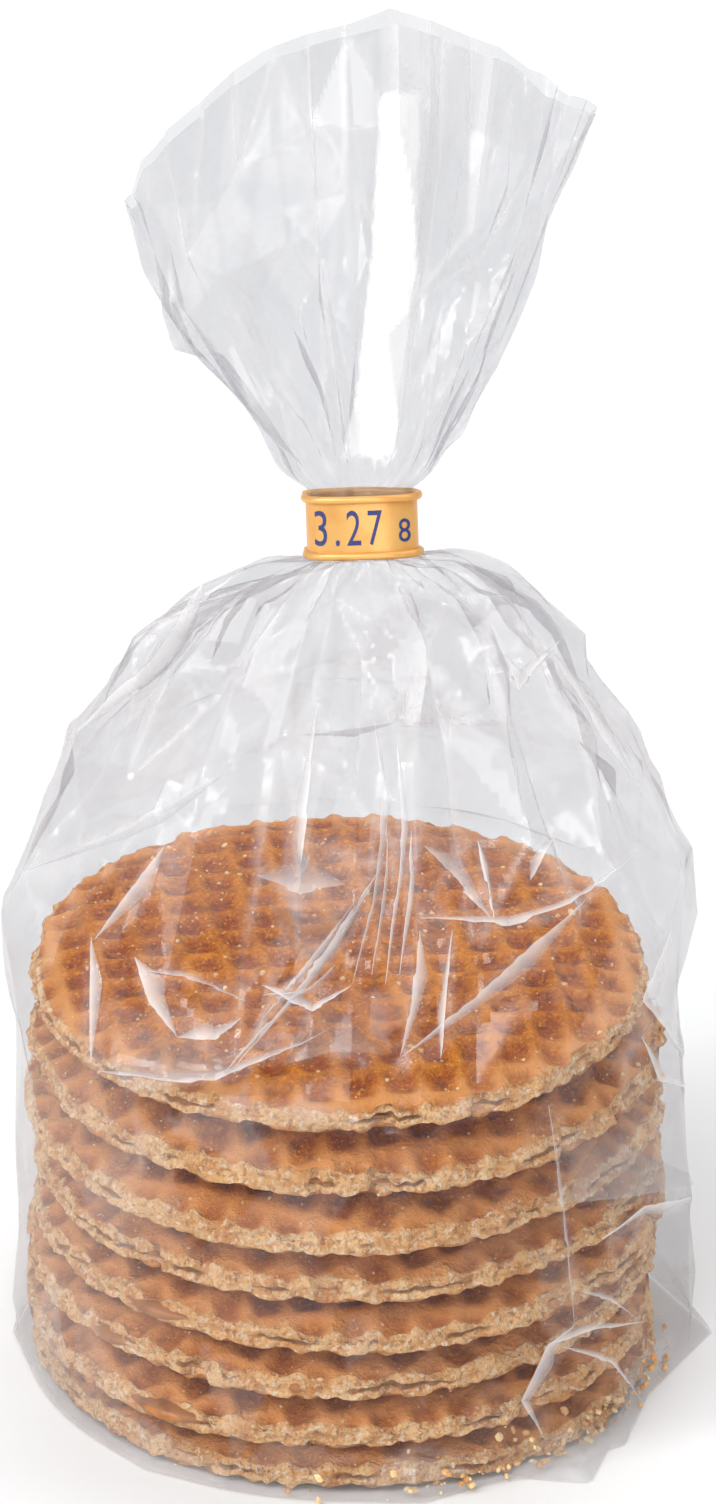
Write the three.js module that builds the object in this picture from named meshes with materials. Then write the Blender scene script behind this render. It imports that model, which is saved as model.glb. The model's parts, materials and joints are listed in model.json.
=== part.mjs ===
// A clear bag that holds a stack of eight stroopwafels. The bag is gathered at its neck, a gold
// clip band with two wired edges shuts it, and its mouth spreads above the band as a ruffle.
// Millimetres, +Z up. The bag stands on z = 0 and its front faces -Y.
import * as THREE from "three";

// The stack that fills the bag.
const WAFEL_COUNT = 8;
const WAFEL_RADIUS = 50;
const WAFEL_PITCH = 9.2;
const RIM_THICKNESS = 3.8;
const STACK_HEIGHT = (WAFEL_COUNT - 1) * WAFEL_PITCH + RIM_THICKNESS;
const RIM_RELIEF = 0.8; // how far the film sinks in between two rims

// The bag round the stack.
const BAG_RADIUS = WAFEL_RADIUS + 1.2;
const FOOT_ROUND = 1.6;
const degrees = (d) => (d * Math.PI) / 180;
// Upright creases of the bag: its angle from +X, and how far it stands out at the foot and the top.
const CREASES = [
  { angle: 0, foot: 7.2, top: 2.6 },
  { angle: 40, foot: 2.2, top: 1.6 },
  { angle: 82, foot: 1.4, top: 2.4 },
  { angle: 128, foot: 2.4, top: 1.2 },
  { angle: 180, foot: 1.8, top: 2.0 },
  { angle: 233, foot: 1.0, top: 1.6 },
  { angle: 283, foot: 2.0, top: 1.2 },
  { angle: 322, foot: 4.6, top: 2.2 },
];
const SEAL_TAB = { angle: 310, reach: 7.5, spread: 9, height: 7 };

// The neck, the clip band round it and the lean of the gathered top.
const NECK_CENTRE = new THREE.Vector3(2.7, 9, 140.5);
const NECK_LEAN = degrees(20);
const NECK_ROLL = degrees(2);
const BAND_HEIGHT = 10;
const BAND_INNER = { x: 8.2, y: 4.3 };
const BAND_THICKNESS = 0.45;
const BEAD_RADIUS = 0.65;
const BAND_LAP = degrees(52);
const BAND_FLATNESS = 0.72; // below 1 the loop is squarer than an ellipse
const CLEARANCE = 0.35;
const NECK = { x: BAND_INNER.x - CLEARANCE, y: BAND_INNER.y - CLEARANCE };
const NECK_HALF = BAND_HEIGHT / 2 + CLEARANCE;
const NECK_SPLIT = 0.15; // half the gap between the bag and the ruffle, inside the band

// The shoulders' half width, by share of the way from the stack's rim up to the band.
const SHOULDER_LEFT = [
  [0, 53.2],
  [0.26, 53.2],
  [0.36, 49.5],
  [0.56, 44.5],
  [0.9, 28],
  [0.97, 20],
  [1, NECK.x],
];
const SHOULDER_RIGHT = [
  [0, 53.8],
  [0.32, 51],
  [0.45, 45.5],
  [0.64, 38.5],
  [0.82, 31],
  [0.94, 24],
  [0.99, 14],
  [1, NECK.x],
];

// The ruffle above the band: its half width by height, and the height of its lip at the sides.
const RUFFLE_MID = 73.5;
const RUFFLE_LEFT = [
  [0, NECK.x],
  [5, 11],
  [28.6, 31],
  [39, 32.6],
  [46, 35.6],
];
const RUFFLE_RIGHT = [
  [0, NECK.x],
  [5.2, 13],
  [38, 30.2],
  [47.3, 33.6],
  [59, 38.8],
];
const RUFFLE_FRONT_LEAN = degrees(9);
const RUFFLE_BACK_LEAN = degrees(7);
const RUFFLE_WALL = 1.3;
const RUFFLE_FLOOR = 0.36; // where the hollow of the ruffle ends, as a share of its height

// Pleats: each takes four columns of the mesh.
const PLEATS = 18;
const PLEAT_DEPTH = 3.0;
const RUFFLE_PLEAT = 3.2;
const SHOULDER_ROWS = [0, 0.1, 0.2, 0.26, 0.36, 0.46, 0.56, 0.68, 0.8, 0.9, 0.95, 0.98];
const RUFFLE_ROWS = [0.03, 0.07, 0.14, 0.24, 0.36, 0.5, 0.62, 0.74, 0.84, 0.93, 1];
const HOLLOW_ROWS = 5;

const smooth = (x) => {
  const t = Math.min(1, Math.max(0, x));
  return t * t * (3 - 2 * t);
};
const mix = (a, b, t) => a + (b - a) * t;
// The value at x of a line through points, level past its two ends.
function along(points, x) {
  const next = points.findIndex(([at]) => at > x);
  if (next < 1) return next < 0 ? points.at(-1)[1] : points[0][1];
  const [low, high] = [points[next - 1], points[next]];
  return mix(low[1], high[1], (x - low[0]) / (high[0] - low[0]));
}
const uneven = (k, seed) => {
  const s = Math.sin(k * 127.1 + seed * 311.7) * 43758.5453;
  return s - Math.floor(s);
};

// The angle of each column: pleats of uneven width, with the side creases kept at 0 and 180 degrees.
const COLUMN_ANGLES = (() => {
  const half = PLEATS / 2;
  const angles = [];
  for (const side of [0, 1]) {
    const widths = Array.from({ length: half }, (_, k) => 0.7 + 0.6 * uneven(k, side + 1));
    const total = widths.reduce((a, b) => a + b, 0);
    let start = side * Math.PI;
    for (const width of widths) {
      const span = (width / total) * Math.PI;
      for (let quarter = 0; quarter < 4; quarter++) angles.push(start + (span * quarter) / 4);
      start += span;
    }
  }
  return angles;
})();

// The fold of a column: about 1 on a ridge, -1 in a valley, and none at the side creases.
function fold(column) {
  const pleat = Math.floor(column / 4);
  const wave = [0, 1, 0, -1][column % 4];
  return wave * (0.6 + 0.7 * uneven(pleat, 5)) * Math.abs(Math.sin(COLUMN_ANGLES[column]));
}

// How far a column stands out from the bag's round wall at a share t of the stack's height: the film
// runs straight from each crease to where it touches the round stack.
function creaseReach(angle, t) {
  let reach = 0;
  for (const crease of CREASES) {
    const half = Math.acos(BAG_RADIUS / (BAG_RADIUS + mix(crease.foot, crease.top, t)));
    const turn = angle - degrees(crease.angle);
    const away = Math.abs(Math.atan2(Math.sin(turn), Math.cos(turn)));
    if (away < half) reach = Math.max(reach, BAG_RADIUS / Math.cos(half - away) - BAG_RADIUS);
  }
  return reach;
}

// The folded tab of the bottom seal, low on the front right.
function tabReach(angle, z) {
  const away = Math.abs(angle - degrees(SEAL_TAB.angle)) / degrees(SEAL_TAB.spread);
  return SEAL_TAB.reach * Math.max(0, 1 - away) * (1 - smooth(z / SEAL_TAB.height));
}

// A ring of the wall that stands round the stack, moved inwards by inset all round, and by relief
// where the film touches the stack.
function bodyRing(z, inset, relief) {
  const t = z / STACK_HEIGHT;
  return COLUMN_ANGLES.map((angle) => {
    const stand = creaseReach(angle, t);
    const radius = BAG_RADIUS - inset + stand + tabReach(angle, z) - relief * Math.max(0, 1 - stand);
    return new THREE.Vector3(radius * Math.cos(angle), radius * Math.sin(angle), z);
  });
}

// The two directions across a section that leans back by lean.
function sectionAxes(lean, roll) {
  const across = new THREE.Vector3(Math.cos(roll), 0, Math.sin(roll));
  const back = new THREE.Vector3(0, Math.cos(lean), -Math.sin(lean));
  const up = new THREE.Vector3(-Math.sin(roll), Math.sin(lean), Math.cos(lean)).normalize();
  return { across, back, up };
}

// A ring of the shoulders at a share u of the way from the stack's rim to the neck.
function shoulderRing(u) {
  const axes = sectionAxes(NECK_LEAN * smooth(u), NECK_ROLL * u);
  const neck = sectionAxes(NECK_LEAN, NECK_ROLL);
  const foot = NECK_CENTRE.clone().addScaledVector(neck.up, -NECK_HALF);
  const centre = new THREE.Vector3(foot.x * u, foot.y * Math.pow(u, 1.5), mix(STACK_HEIGHT, foot.z, u));
  const deep = mix(NECK.y, BAG_RADIUS, Math.pow(1 - u, 0.92));
  const pleat = PLEAT_DEPTH * Math.min(1, (1 - u) / 0.08) * smooth(u / 0.45);
  return COLUMN_ANGLES.map((angle, column) => {
    const wide = along(Math.cos(angle) < 0 ? SHOULDER_LEFT : SHOULDER_RIGHT, u);
    const stand = creaseReach(angle, 1) * (1 - u) + fold(column) * pleat;
    const out = 1 + stand / Math.max(deep, 12);
    return centre
      .clone()
      .addScaledVector(axes.across, wide * Math.cos(angle) * mix(1, out, Math.abs(Math.sin(angle))))
      .addScaledVector(axes.back, deep * Math.sin(angle) * out);
  });
}

// A ring inside the band, at a height l along the neck.
function neckRing(l) {
  const axes = sectionAxes(NECK_LEAN, NECK_ROLL);
  return COLUMN_ANGLES.map((angle) =>
    NECK_CENTRE.clone()
      .addScaledVector(axes.up, l)
      .addScaledVector(axes.across, NECK.x * Math.cos(angle))
      .addScaledVector(axes.back, NECK.y * Math.sin(angle)),
  );
}

// A ring of the ruffle at a share s of its height, moved inwards by inset.
function ruffleRing(s, inset) {
  const axes = sectionAxes(NECK_LEAN, NECK_ROLL);
  return COLUMN_ANGLES.map((angle, column) => {
    const c = Math.cos(angle);
    const d = Math.sin(angle);
    const side = c < 0 ? RUFFLE_LEFT : RUFFLE_RIGHT;
    const height = mix(side.at(-1)[0], RUFFLE_MID, d * d) * s;
    const lean = d < 0 ? RUFFLE_FRONT_LEAN : RUFFLE_BACK_LEAN;
    const wide = along(side, height);
    const deep = NECK.y + height * Math.tan(lean);
    const pleat = fold(column) * RUFFLE_PLEAT * smooth(s / 0.3);
    const out = (pleat - inset) / Math.hypot(c / wide, d / deep);
    return NECK_CENTRE.clone()
      .addScaledVector(axes.up, NECK_HALF + height)
      .addScaledVector(axes.across, wide * c + (out * c) / wide)
      .addScaledVector(axes.back, deep * d + (out * d) / deep);
  });
}

// Joins rings of the same number of points into a closed surface with a cap at both ends.
function closedSurface(rings, firstCap, lastCap) {
  const points = rings.flat().concat([firstCap, lastCap]);
  const count = rings[0].length;
  const first = points.length - 2;
  const last = points.length - 1;
  const faces = [];
  for (let i = 0; i + 1 < rings.length; i++)
    for (let j = 0; j < count; j++) {
      const next = (j + 1) % count;
      const a = i * count + j;
      const b = i * count + next;
      faces.push(a, b, b + count, a, b + count, a + count);
    }
  for (let j = 0; j < count; j++) {
    const next = (j + 1) % count;
    const top = (rings.length - 1) * count;
    faces.push(next, j, first, top + j, top + next, last);
  }
  const geometry = new THREE.BufferGeometry();
  geometry.setAttribute("position", new THREE.Float32BufferAttribute(points.flatMap((p) => p.toArray()), 3));
  geometry.setIndex(faces);
  geometry.computeVertexNormals();
  return geometry;
}

const middle = (ring) =>
  ring.reduce((sum, p) => sum.add(p), new THREE.Vector3()).multiplyScalar(1 / ring.length);

// The bag: foot, wall, shoulders, and the neck up to the middle of the band.
function bagGeometry() {
  const rings = [bodyRing(0, FOOT_ROUND, 0), bodyRing(FOOT_ROUND * 0.4, FOOT_ROUND * 0.35, 0)];
  for (let wafel = 0; wafel < WAFEL_COUNT; wafel++) {
    const rim = wafel * WAFEL_PITCH + RIM_THICKNESS;
    rings.push(bodyRing(rim - RIM_THICKNESS * 0.4, 0, 0));
    if (rim < STACK_HEIGHT) rings.push(bodyRing(mix(rim, (wafel + 1) * WAFEL_PITCH, 0.5), 0, RIM_RELIEF));
  }
  for (const u of SHOULDER_ROWS) rings.push(shoulderRing(u));
  for (const l of [-NECK_HALF, -NECK_SPLIT]) rings.push(neckRing(l));
  return closedSurface(rings, new THREE.Vector3(0, 0, 0), middle(rings.at(-1)));
}

// The ruffle: the neck from the middle of the band up, and the spread pleats with their open mouth.
function ruffleGeometry() {
  const rings = [NECK_SPLIT, NECK_HALF].map(neckRing);
  for (const s of RUFFLE_ROWS) rings.push(ruffleRing(s, 0));
  for (let i = 0; i <= HOLLOW_ROWS; i++) {
    rings.push(ruffleRing(mix(1, RUFFLE_FLOOR, i / HOLLOW_ROWS), RUFFLE_WALL));
  }
  return closedSurface(rings, middle(rings[0]), middle(rings.at(-1)));
}

// The outline of the band's strip, flat inside and with a wire bead along each edge. x is outwards.
function stripOutline() {
  const outline = [];
  const beadSteps = 6;
  const meets = Math.acos((BAND_THICKNESS - BEAD_RADIUS) / BEAD_RADIUS);
  const centre = BAND_HEIGHT / 2 - BEAD_RADIUS;
  const arc = (from, to, height) => {
    for (let i = 0; i <= beadSteps; i++) {
      const a = mix(from, to, i / beadSteps);
      outline.push([BEAD_RADIUS * (1 + Math.cos(a)), height + BEAD_RADIUS * Math.sin(a)]);
    }
  };
  arc(Math.PI, -meets, centre);
  arc(meets, -Math.PI, -centre);
  return outline;
}

// The clip band: a strip bent into a flat loop, with its outer end lapped over the start at the back.
function bandGeometry() {
  const axes = sectionAxes(NECK_LEAN, NECK_ROLL);
  const outline = stripOutline();
  const steps = 48;
  const start = degrees(100);
  const lapStep = 2 * BEAD_RADIUS + 0.3;
  const rings = [];
  for (let i = 0; i <= steps; i++) {
    const turned = (i / steps) * (2 * Math.PI + BAND_LAP);
    const angle = start + turned;
    const lap = lapStep * smooth((turned - (2 * Math.PI - degrees(40))) / degrees(36));
    const c = Math.cos(angle);
    const s = Math.sin(angle);
    const x = BAND_INNER.x * Math.sign(c) * Math.pow(Math.abs(c), BAND_FLATNESS);
    const y = BAND_INNER.y * Math.sign(s) * Math.pow(Math.abs(s), BAND_FLATNESS);
    const outX = x / (BAND_INNER.x * BAND_INNER.x);
    const outY = y / (BAND_INNER.y * BAND_INNER.y);
    const size = Math.hypot(outX, outY);
    rings.push(
      outline.map(([out, height]) =>
        NECK_CENTRE.clone()
          .addScaledVector(axes.up, height)
          .addScaledVector(axes.across, x + ((lap + out) * outX) / size)
          .addScaledVector(axes.back, y + ((lap + out) * outY) / size),
      ),
    );
  }
  return closedSurface(rings, middle(rings[0]), middle(rings.at(-1)));
}

const film = new THREE.MeshStandardMaterial({
  color: new THREE.Color(0.86, 0.86, 0.88),
  roughness: 0.12,
  metalness: 0,
  transparent: true,
  opacity: 0.45,
});
const gold = new THREE.MeshStandardMaterial({
  color: new THREE.Color(0.9, 0.68, 0.32),
  roughness: 0.35,
  metalness: 0.6,
});

function named(name, geometry, material) {
  const mesh = new THREE.Mesh(geometry, material);
  mesh.name = name;
  return mesh;
}

const pack = new THREE.Group();
pack.add(named("bag", bagGeometry(), film));
pack.add(named("ruffle", ruffleGeometry(), film.clone()));
pack.add(named("clip_band", bandGeometry(), gold));

export default pack;
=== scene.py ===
"""The looks of a clear bag of eight stroopwafels: laid out as a Blender add-on and run as a script."""
import json
import math
from collections import namedtuple

import bpy
import numpy as np
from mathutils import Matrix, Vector, geometry
from mathutils.bvhtree import BVHTree

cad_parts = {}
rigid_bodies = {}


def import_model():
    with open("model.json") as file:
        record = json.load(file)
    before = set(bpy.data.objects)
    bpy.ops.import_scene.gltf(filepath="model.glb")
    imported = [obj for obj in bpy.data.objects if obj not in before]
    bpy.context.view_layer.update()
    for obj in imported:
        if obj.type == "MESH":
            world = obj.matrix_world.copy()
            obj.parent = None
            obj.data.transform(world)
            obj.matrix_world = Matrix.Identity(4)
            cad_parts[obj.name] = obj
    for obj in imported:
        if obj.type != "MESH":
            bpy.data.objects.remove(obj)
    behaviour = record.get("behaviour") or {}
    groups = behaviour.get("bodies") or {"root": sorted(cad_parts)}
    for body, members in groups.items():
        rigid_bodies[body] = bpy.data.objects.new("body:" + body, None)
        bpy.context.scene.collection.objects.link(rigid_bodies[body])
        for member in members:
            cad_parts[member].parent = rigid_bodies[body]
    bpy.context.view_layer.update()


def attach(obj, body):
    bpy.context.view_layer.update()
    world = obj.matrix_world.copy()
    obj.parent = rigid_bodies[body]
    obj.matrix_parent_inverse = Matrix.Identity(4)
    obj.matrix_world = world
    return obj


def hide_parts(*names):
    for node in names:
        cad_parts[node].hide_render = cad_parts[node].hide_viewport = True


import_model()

bl_info = {
    "name": "Bag of stroopwafels",
    "version": (1, 0, 0),
    "blender": (4, 5, 0),
    "location": "3D View > Sidebar > Wafels",
    "description": "Models and paints a clear bag of caramel wafels round its packed frame",
    "category": "Object",
}

MM = 0.001
BODY = "root"

# The photograph's frame, in pixels, and its camera.
PHOTO_SIZE = (716, 1504)
PIXELS_PER_MM = 6.4
CAMERA_TARGET = (2.0, 9.7, 100.0)
SENSOR = 36.0

# The stack, from the top wafel down: the height of its lower rim above the floor, its sideways
# shift, its radius, and the turn of its grid, in millimetres and degrees.
Wafel = namedtuple("Wafel", "rim shift radius turn")
WAFELS = (
    Wafel(64.8, (-0.9, -0.6), 48.2, 9),
    Wafel(53.7, (0.6, 0.3), 49.6, 12),
    Wafel(43.6, (0.2, -0.2), 49.8, -21),
    Wafel(34.4, (0.7, 0.4), 49.4, 33),
    Wafel(25.6, (0.5, 0.1), 49.8, 5),
    Wafel(17.2, (-0.7, 0.2), 49.4, -38),
    Wafel(8.6, (-0.9, -0.1), 49.6, 20),
    Wafel(0.3, (0.2, 0.3), 49.0, -12),
)
TOP_DOME = 7.0  # the top wafel's thickness at its middle
THICKEST = 9.6  # the most that a lower wafel's middle fills
WAFEL_GAP = 0.15  # between a wafel's middle and the rim of the next one up
WAFEL_REACH = 50.6  # the farthest that a wafel comes to the film's wall
SEAM_SHARE = 0.62  # the height of the seam, as a share of the rim's
WAFEL_COLUMNS = 620
TOP_ROWS, LOWER_ROWS = 38, 24  # rows of points on a wafel's face, inside its rim

# Where the caramel has crept out of the seam: wafel, angle from +X and half width in degrees, how far
# out, and how thick, in millimetres.
SYRUP_RUNS = (
    (5, 232, 9, 1.5, 2.0),
    (6, 222, 8, 1.4, 1.8),
    (6, 262, 4, 0.9, 1.5),
    (7, 236, 13, 1.7, 2.2),
    (7, 205, 6, 1.2, 1.6),
    (3, 300, 5, 0.8, 1.2),
    (2, 68, 7, 1.0, 1.4),
    (4, 140, 8, 1.2, 1.6),
)

# How many loose crumbs are tried on each wafel from the top one down, and how many lie in the foot.
CRUMBS = (520, 190, 130, 120, 90, 90, 80, 80)
FOOT_CRUMBS = 150

# The bag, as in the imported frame: the wall round the stack, its upright creases by their angle from
# +X and how far they stand out at the foot and the top, and the folded seal at the foot.
STACK_TOP = 68.2
BAG_RADIUS = 51.2
CREASES = (
    (0, 7.2, 2.6),
    (40, 2.2, 1.6),
    (82, 1.4, 2.4),
    (128, 2.4, 1.2),
    (180, 1.8, 2.0),
    (233, 1.0, 1.6),
    (283, 2.0, 1.2),
    (322, 4.6, 2.2),
)
SEAL_TAB = {"angle": 310, "reach": 7.5, "spread": 9, "height": 7}

# The neck: the middle of the band, its lean back and roll, half the band's height, and the film's
# half width and half depth inside it.
NECK_CENTRE = np.array([2.7, 9.0, 140.5])
NECK_LEAN = math.radians(20)
NECK_ROLL = math.radians(2)
NECK_HALF = 5.35
NECK_INNER = (7.85, 3.95)

# The band: the half width and half depth of its inner wall, how square its loop is, the radius of
# its wired edges, the thickness of its strip, and where it starts and how far it laps, in degrees.
BAND_INNER = (8.2, 4.3)
BAND_FLATNESS = 0.72
BAND_BEAD = 0.62
BAND_SHEET = 0.4
BAND_START = 100
BAND_LAP = 52

# The shoulders: half widths by the share of the way from the wall to the neck, and their pleats.
SHOULDER_LEFT = ((0, 53.2), (0.26, 53.2), (0.36, 49.5), (0.56, 44.5), (0.9, 28), (0.97, 20), (1, 7.85))
SHOULDER_RIGHT = (
    (0, 53.8), (0.32, 51), (0.45, 45.5), (0.64, 38.5), (0.82, 31), (0.94, 24), (0.99, 14), (1, 7.85),
)
SHOULDER_PLEAT = 3.0
PLEATS = 18

# The ruffle: half widths by height above the band, the height of its lip in the middle, how much its
# front and back lean away from each other, and how far its pleats stand out.
RUFFLE_LEFT = ((0, 7.85), (5, 11), (28.6, 31), (39, 32.6), (46, 35.6))
RUFFLE_RIGHT = ((0, 7.85), (5.2, 14.5), (9, 17), (38, 30.2), (47.3, 33.6), (59, 38.8))
RUFFLE_MID = 73.5
RUFFLE_FRONT_LEAN = math.radians(9)
RUFFLE_BACK_LEAN = math.radians(7)
RUFFLE_PLEAT = 3.2

# The outline of the ruffle's lip in the photograph, seen from the hub in the neck: degrees to the
# right of straight up, and pixels away.
LIP_OUTLINE = (
    (-42, 372), (-37.6, 379), (-34.9, 396), (-23.4, 420), (-12.7, 453), (-3.9, 467), (-0.1, 470),
    (0.1, 485), (2.7, 487), (13.3, 470), (21.9, 464), (24.7, 449), (32.7, 454), (38, 425),
)
# The white strip of the seam in the ruffle, in pixels of the photograph: a height, and its left and
# right edge there.
SEAM_EDGES = ((93, 381, 421), (250, 372, 415), (380, 358, 404), (455, 343, 394))

# The film's mesh: how many columns to each quarter of a pleat, its way round, its lowest point, the
# height up to which it is foot, and the lowest ring of its wall, in millimetres.
FILM_FINE = 5
FILM_LAP = 330.0
FILM_FLOOR = 0.08
FOOT_TOP = 0.2
WALL_START = 0.3
# The corners of the loose flap at the ruffle's lower right, round the film and up it.
FLAP_CORNERS = ((1.0, 14.5), (7.0, 15.0), (FILM_LAP - 5.0, 15.0))

# The folds that show most on the film's front: how far each stands out, how wide its lit and its far
# side are, in millimetres, and the pixels of the photograph that it runs through. The lit side is on the
# left of the way that it runs, and carries a painted highlight. Over it lies a sliver of film: widest at
# the share peak of its length, wide times as wide as the lit side, or on the far side if wide is below
# 0, and as milky as bright, which is drawn where none is given. A sliver's milk is a painted highlight,
# strongest at its crease, and the last four slivers are wide and faint, and paint reflections on the
# film.
Fold = namedtuple("Fold", "out lit far run peak wide bright", defaults=(0.35, 0.75, None))
FOLDS = (
    Fold(1.5, 2.2, 9, ((92, 936), (93, 1000), (92, 1066))),
    Fold(1.3, 2.4, 8, ((95, 1070), (160, 1082), (215, 1080), (300, 1045), (330, 1028))),
    Fold(1.6, 4.5, 6, ((135, 957), (150, 1000), (178, 1037))),
    Fold(1.3, 3.5, 5, ((178, 1037), (215, 1040), (243, 1018))),
    Fold(0.9, 1.4, 6, ((140, 970), (190, 980), (248, 1002))),
    Fold(1.2, 3.0, 5, ((258, 876), (300, 892), (345, 884)), peak=0.5, wide=2.2),
    Fold(1.5, 1.8, 8, ((420, 918), (470, 922), (510, 926), (560, 908), (585, 895), (640, 850))),
    Fold(1.3, 4.0, 4, ((422, 845), (460, 885), (492, 920))),
    Fold(1.4, 3.6, 9, ((585, 900), (520, 955), (470, 1000), (400, 1058))),
    Fold(1.0, 2.6, 6, ((420, 930), (412, 1000), (400, 1058))),
    Fold(1.3, 2.2, 5, ((380, 868), (300, 985), (220, 1078))),
    Fold(1.1, 1.6, 4, ((375, 720), (384, 800), (372, 900), (352, 985))),
    Fold(1.1, 1.5, 4, ((398, 740), (402, 830), (392, 920), (386, 985))),
    Fold(0.8, 1.0, 7, ((478, 838), (486, 880), (494, 920))),
    Fold(0.8, 1.0, 9, ((548, 1105), (556, 1180), (565, 1250), (574, 1325))),
    Fold(1.6, 3.0, 5, ((574, 1325), (545, 1345), (520, 1400), (545, 1440))),
    Fold(1.1, 1.6, 6, ((545, 1345), (590, 1330), (640, 1322))),
    Fold(1.4, 3.0, 9, ((230, 770), (120, 830), (20, 872))),
    Fold(1.4, 5.0, 8, ((210, 575), (150, 660), (75, 735))),
    Fold(1.6, 3.5, 5, ((505, 655), (520, 690), (560, 640))),
    Fold(1.2, 3.5, 7, ((548, 650), (600, 735), (640, 790))),
    Fold(1.2, 3.0, 6, ((670, 930), (640, 1000), (700, 1080))),
    Fold(1.3, 2.4, 6, ((700, 1195), (640, 1205), (600, 1240))),
    Fold(0.8, 2.4, 4, ((300, 872), (308, 800), (318, 700))),
    Fold(0.8, 3.2, 5, ((165, 845), (130, 895), (95, 940))),
    Fold(0.8, 2.2, 5, ((262, 985), (312, 1012), (352, 985))),
    Fold(0.7, 1.6, 4, ((440, 1060), (446, 1010), (452, 930))),
    Fold(0.6, 2.0, 4, ((530, 880), (545, 850), (556, 835))),
    Fold(0.5, 1.2, 3, ((352, 905), (305, 968), (262, 1020))),
    Fold(0.5, 1.4, 3, ((372, 885), (330, 945), (280, 1010), (235, 1068))),
    Fold(0.5, 1.0, 3, ((388, 820), (382, 900), (372, 975))),
    Fold(0.5, 1.1, 3, ((412, 830), (408, 900), (400, 975))),
    Fold(0.5, 1.6, 3, ((335, 965), (300, 990), (262, 996))),
    Fold(0.7, 2.0, 4, ((640, 1035), (655, 1080), (705, 1092))),
    Fold(0.6, 1.2, 3, ((560, 1345), (610, 1362), (640, 1400))),
    Fold(0.5, 1.0, 3, ((580, 1290), (610, 1300), (632, 1316))),
    Fold(0.3, 12, 4, ((560, 1202), (630, 1196), (705, 1182)), wide=0.9, bright=0.12),
    Fold(0.3, 8, 4, ((108, 1072), (160, 1080), (212, 1078), (250, 1045)), wide=0.9, bright=0.1),
    Fold(0.3, 10, 4, ((285, 1064), (330, 1052), (385, 1054)), wide=0.9, bright=0.1),
    Fold(0.3, 9, 4, ((270, 905), (330, 915), (372, 890)), wide=-0.9, bright=0.06),
)
SLIVER_STEPS, SLIVER_ROWS = 30, 6


def points_of(piece):
    """The points of a piece's mesh, one row each, in metres."""
    points = np.empty(len(piece.data.vertices) * 3)
    piece.data.vertices.foreach_get("co", points)
    return points.reshape(-1, 3)


def place_points(piece, points):
    """Moves the points of a piece's mesh."""
    piece.data.vertices.foreach_set("co", np.asarray(points, dtype=float).ravel())
    piece.data.update()


def alone(piece):
    """Makes a piece the only selected and active object."""
    bpy.ops.object.select_all(action="DESELECT")
    piece.select_set(True)
    bpy.context.view_layer.objects.active = piece


def flat_sheet(name, columns, rows):
    """A flat sheet of faces, and for each of its points its column and row."""
    bpy.ops.object.select_all(action="DESELECT")
    bpy.ops.mesh.primitive_grid_add(x_subdivisions=columns, y_subdivisions=rows, size=1)
    piece = bpy.context.active_object
    piece.name = name
    piece.data.name = name
    place = points_of(piece)[:, :2] + 0.5
    column = np.rint(place[:, 0] * columns).astype(int)
    row = np.rint(place[:, 1] * rows).astype(int)
    return piece, column, row


def close_seams(piece):
    """Merges the points that meet along a seam or at a pole, and turns all faces outwards."""
    alone(piece)
    bpy.ops.object.mode_set(mode="EDIT")
    bpy.ops.mesh.select_all(action="SELECT")
    bpy.ops.mesh.remove_doubles(threshold=1e-6)
    bpy.ops.mesh.normals_make_consistent(inside=False)
    bpy.ops.object.mode_set(mode="OBJECT")


def paint_points(piece, name, values):
    """Keeps one number for each point of a piece, for its material to read."""
    layer = piece.data.attributes.new(name, "FLOAT", "POINT")
    layer.data.foreach_set("value", np.asarray(values, dtype=np.float32))


def surface_tree(piece):
    """A piece's surface, for rays to meet."""
    points = [vertex.co for vertex in piece.data.vertices]
    return BVHTree.FromPolygons(points, [tuple(face.vertices) for face in piece.data.polygons])


def fade(low, high, x):
    """0 below low, 1 above high, and a smooth rise between."""
    t = np.clip((np.asarray(x, dtype=float) - low) / (high - low), 0, 1)
    return t * t * (3 - 2 * t)


def profile(points, x):
    """The value at x on the straight lines that join the points."""
    places, values = zip(*points)
    return np.interp(x, places, values)


def angle_away(angle, degrees):
    """How far angles lie from a direction in degrees, the short way round."""
    return np.abs(np.angle(np.exp(1j * (angle - math.radians(degrees)))))


def path_lengths(path):
    """How far each point of a path lies along it."""
    return np.concatenate([[0], np.cumsum(np.linalg.norm(np.diff(path, axis=0), axis=1))])


def uneven(k, seed):
    """A repeatable number from 0 to 1 for each k."""
    value = np.sin(k * 127.1 + seed * 311.7) * 43758.5453
    return value - np.floor(value)


def lumps(points, size, seed):
    """Smooth noise from -1 to 1 at points, with lumps of about the given size."""
    place = np.asarray(points, dtype=float) / size + seed * 13.37
    cell = np.floor(place).astype(np.int64)
    part = place - cell
    part = part * part * (3 - 2 * part)
    total = np.zeros(len(place))
    for corner in range(8):
        step = np.array([corner & 1, corner >> 1 & 1, corner >> 2 & 1])
        weight = np.prod(np.where(step, part, 1 - part), axis=1)
        key = ((cell + step) * np.array([374761393, 668265263, 974711])).sum(axis=1) + seed * 144269
        key = (key ^ (key >> 13)) * 1274126177 & 0x7FFFFFFF
        total += weight * (((key ^ (key >> 16)) & 0xFFFF) / 32767.5 - 1)
    return total


def camera_view():
    """The camera's forward and upward directions, and its distance in millimetres."""
    view = bpy.context.scene.pack_stage
    rise = view.elevation
    forward = np.array([0, math.cos(rise), -math.sin(rise)])
    up = np.array([0, math.sin(rise), math.cos(rise)])
    return forward, up, view.distance / MM


def to_pixels(points):
    """Where points of the pack, in millimetres, fall in the photograph."""
    forward, up, distance = camera_view()
    offset = np.asarray(points) - np.array(CAMERA_TARGET)
    scale = PIXELS_PER_MM * distance / (distance + offset @ forward)
    across = PHOTO_SIZE[0] / 2 + offset[..., 0] * scale
    down = PHOTO_SIZE[1] / 2 - (offset @ up) * scale
    return np.stack([across, down], axis=-1)


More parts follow.
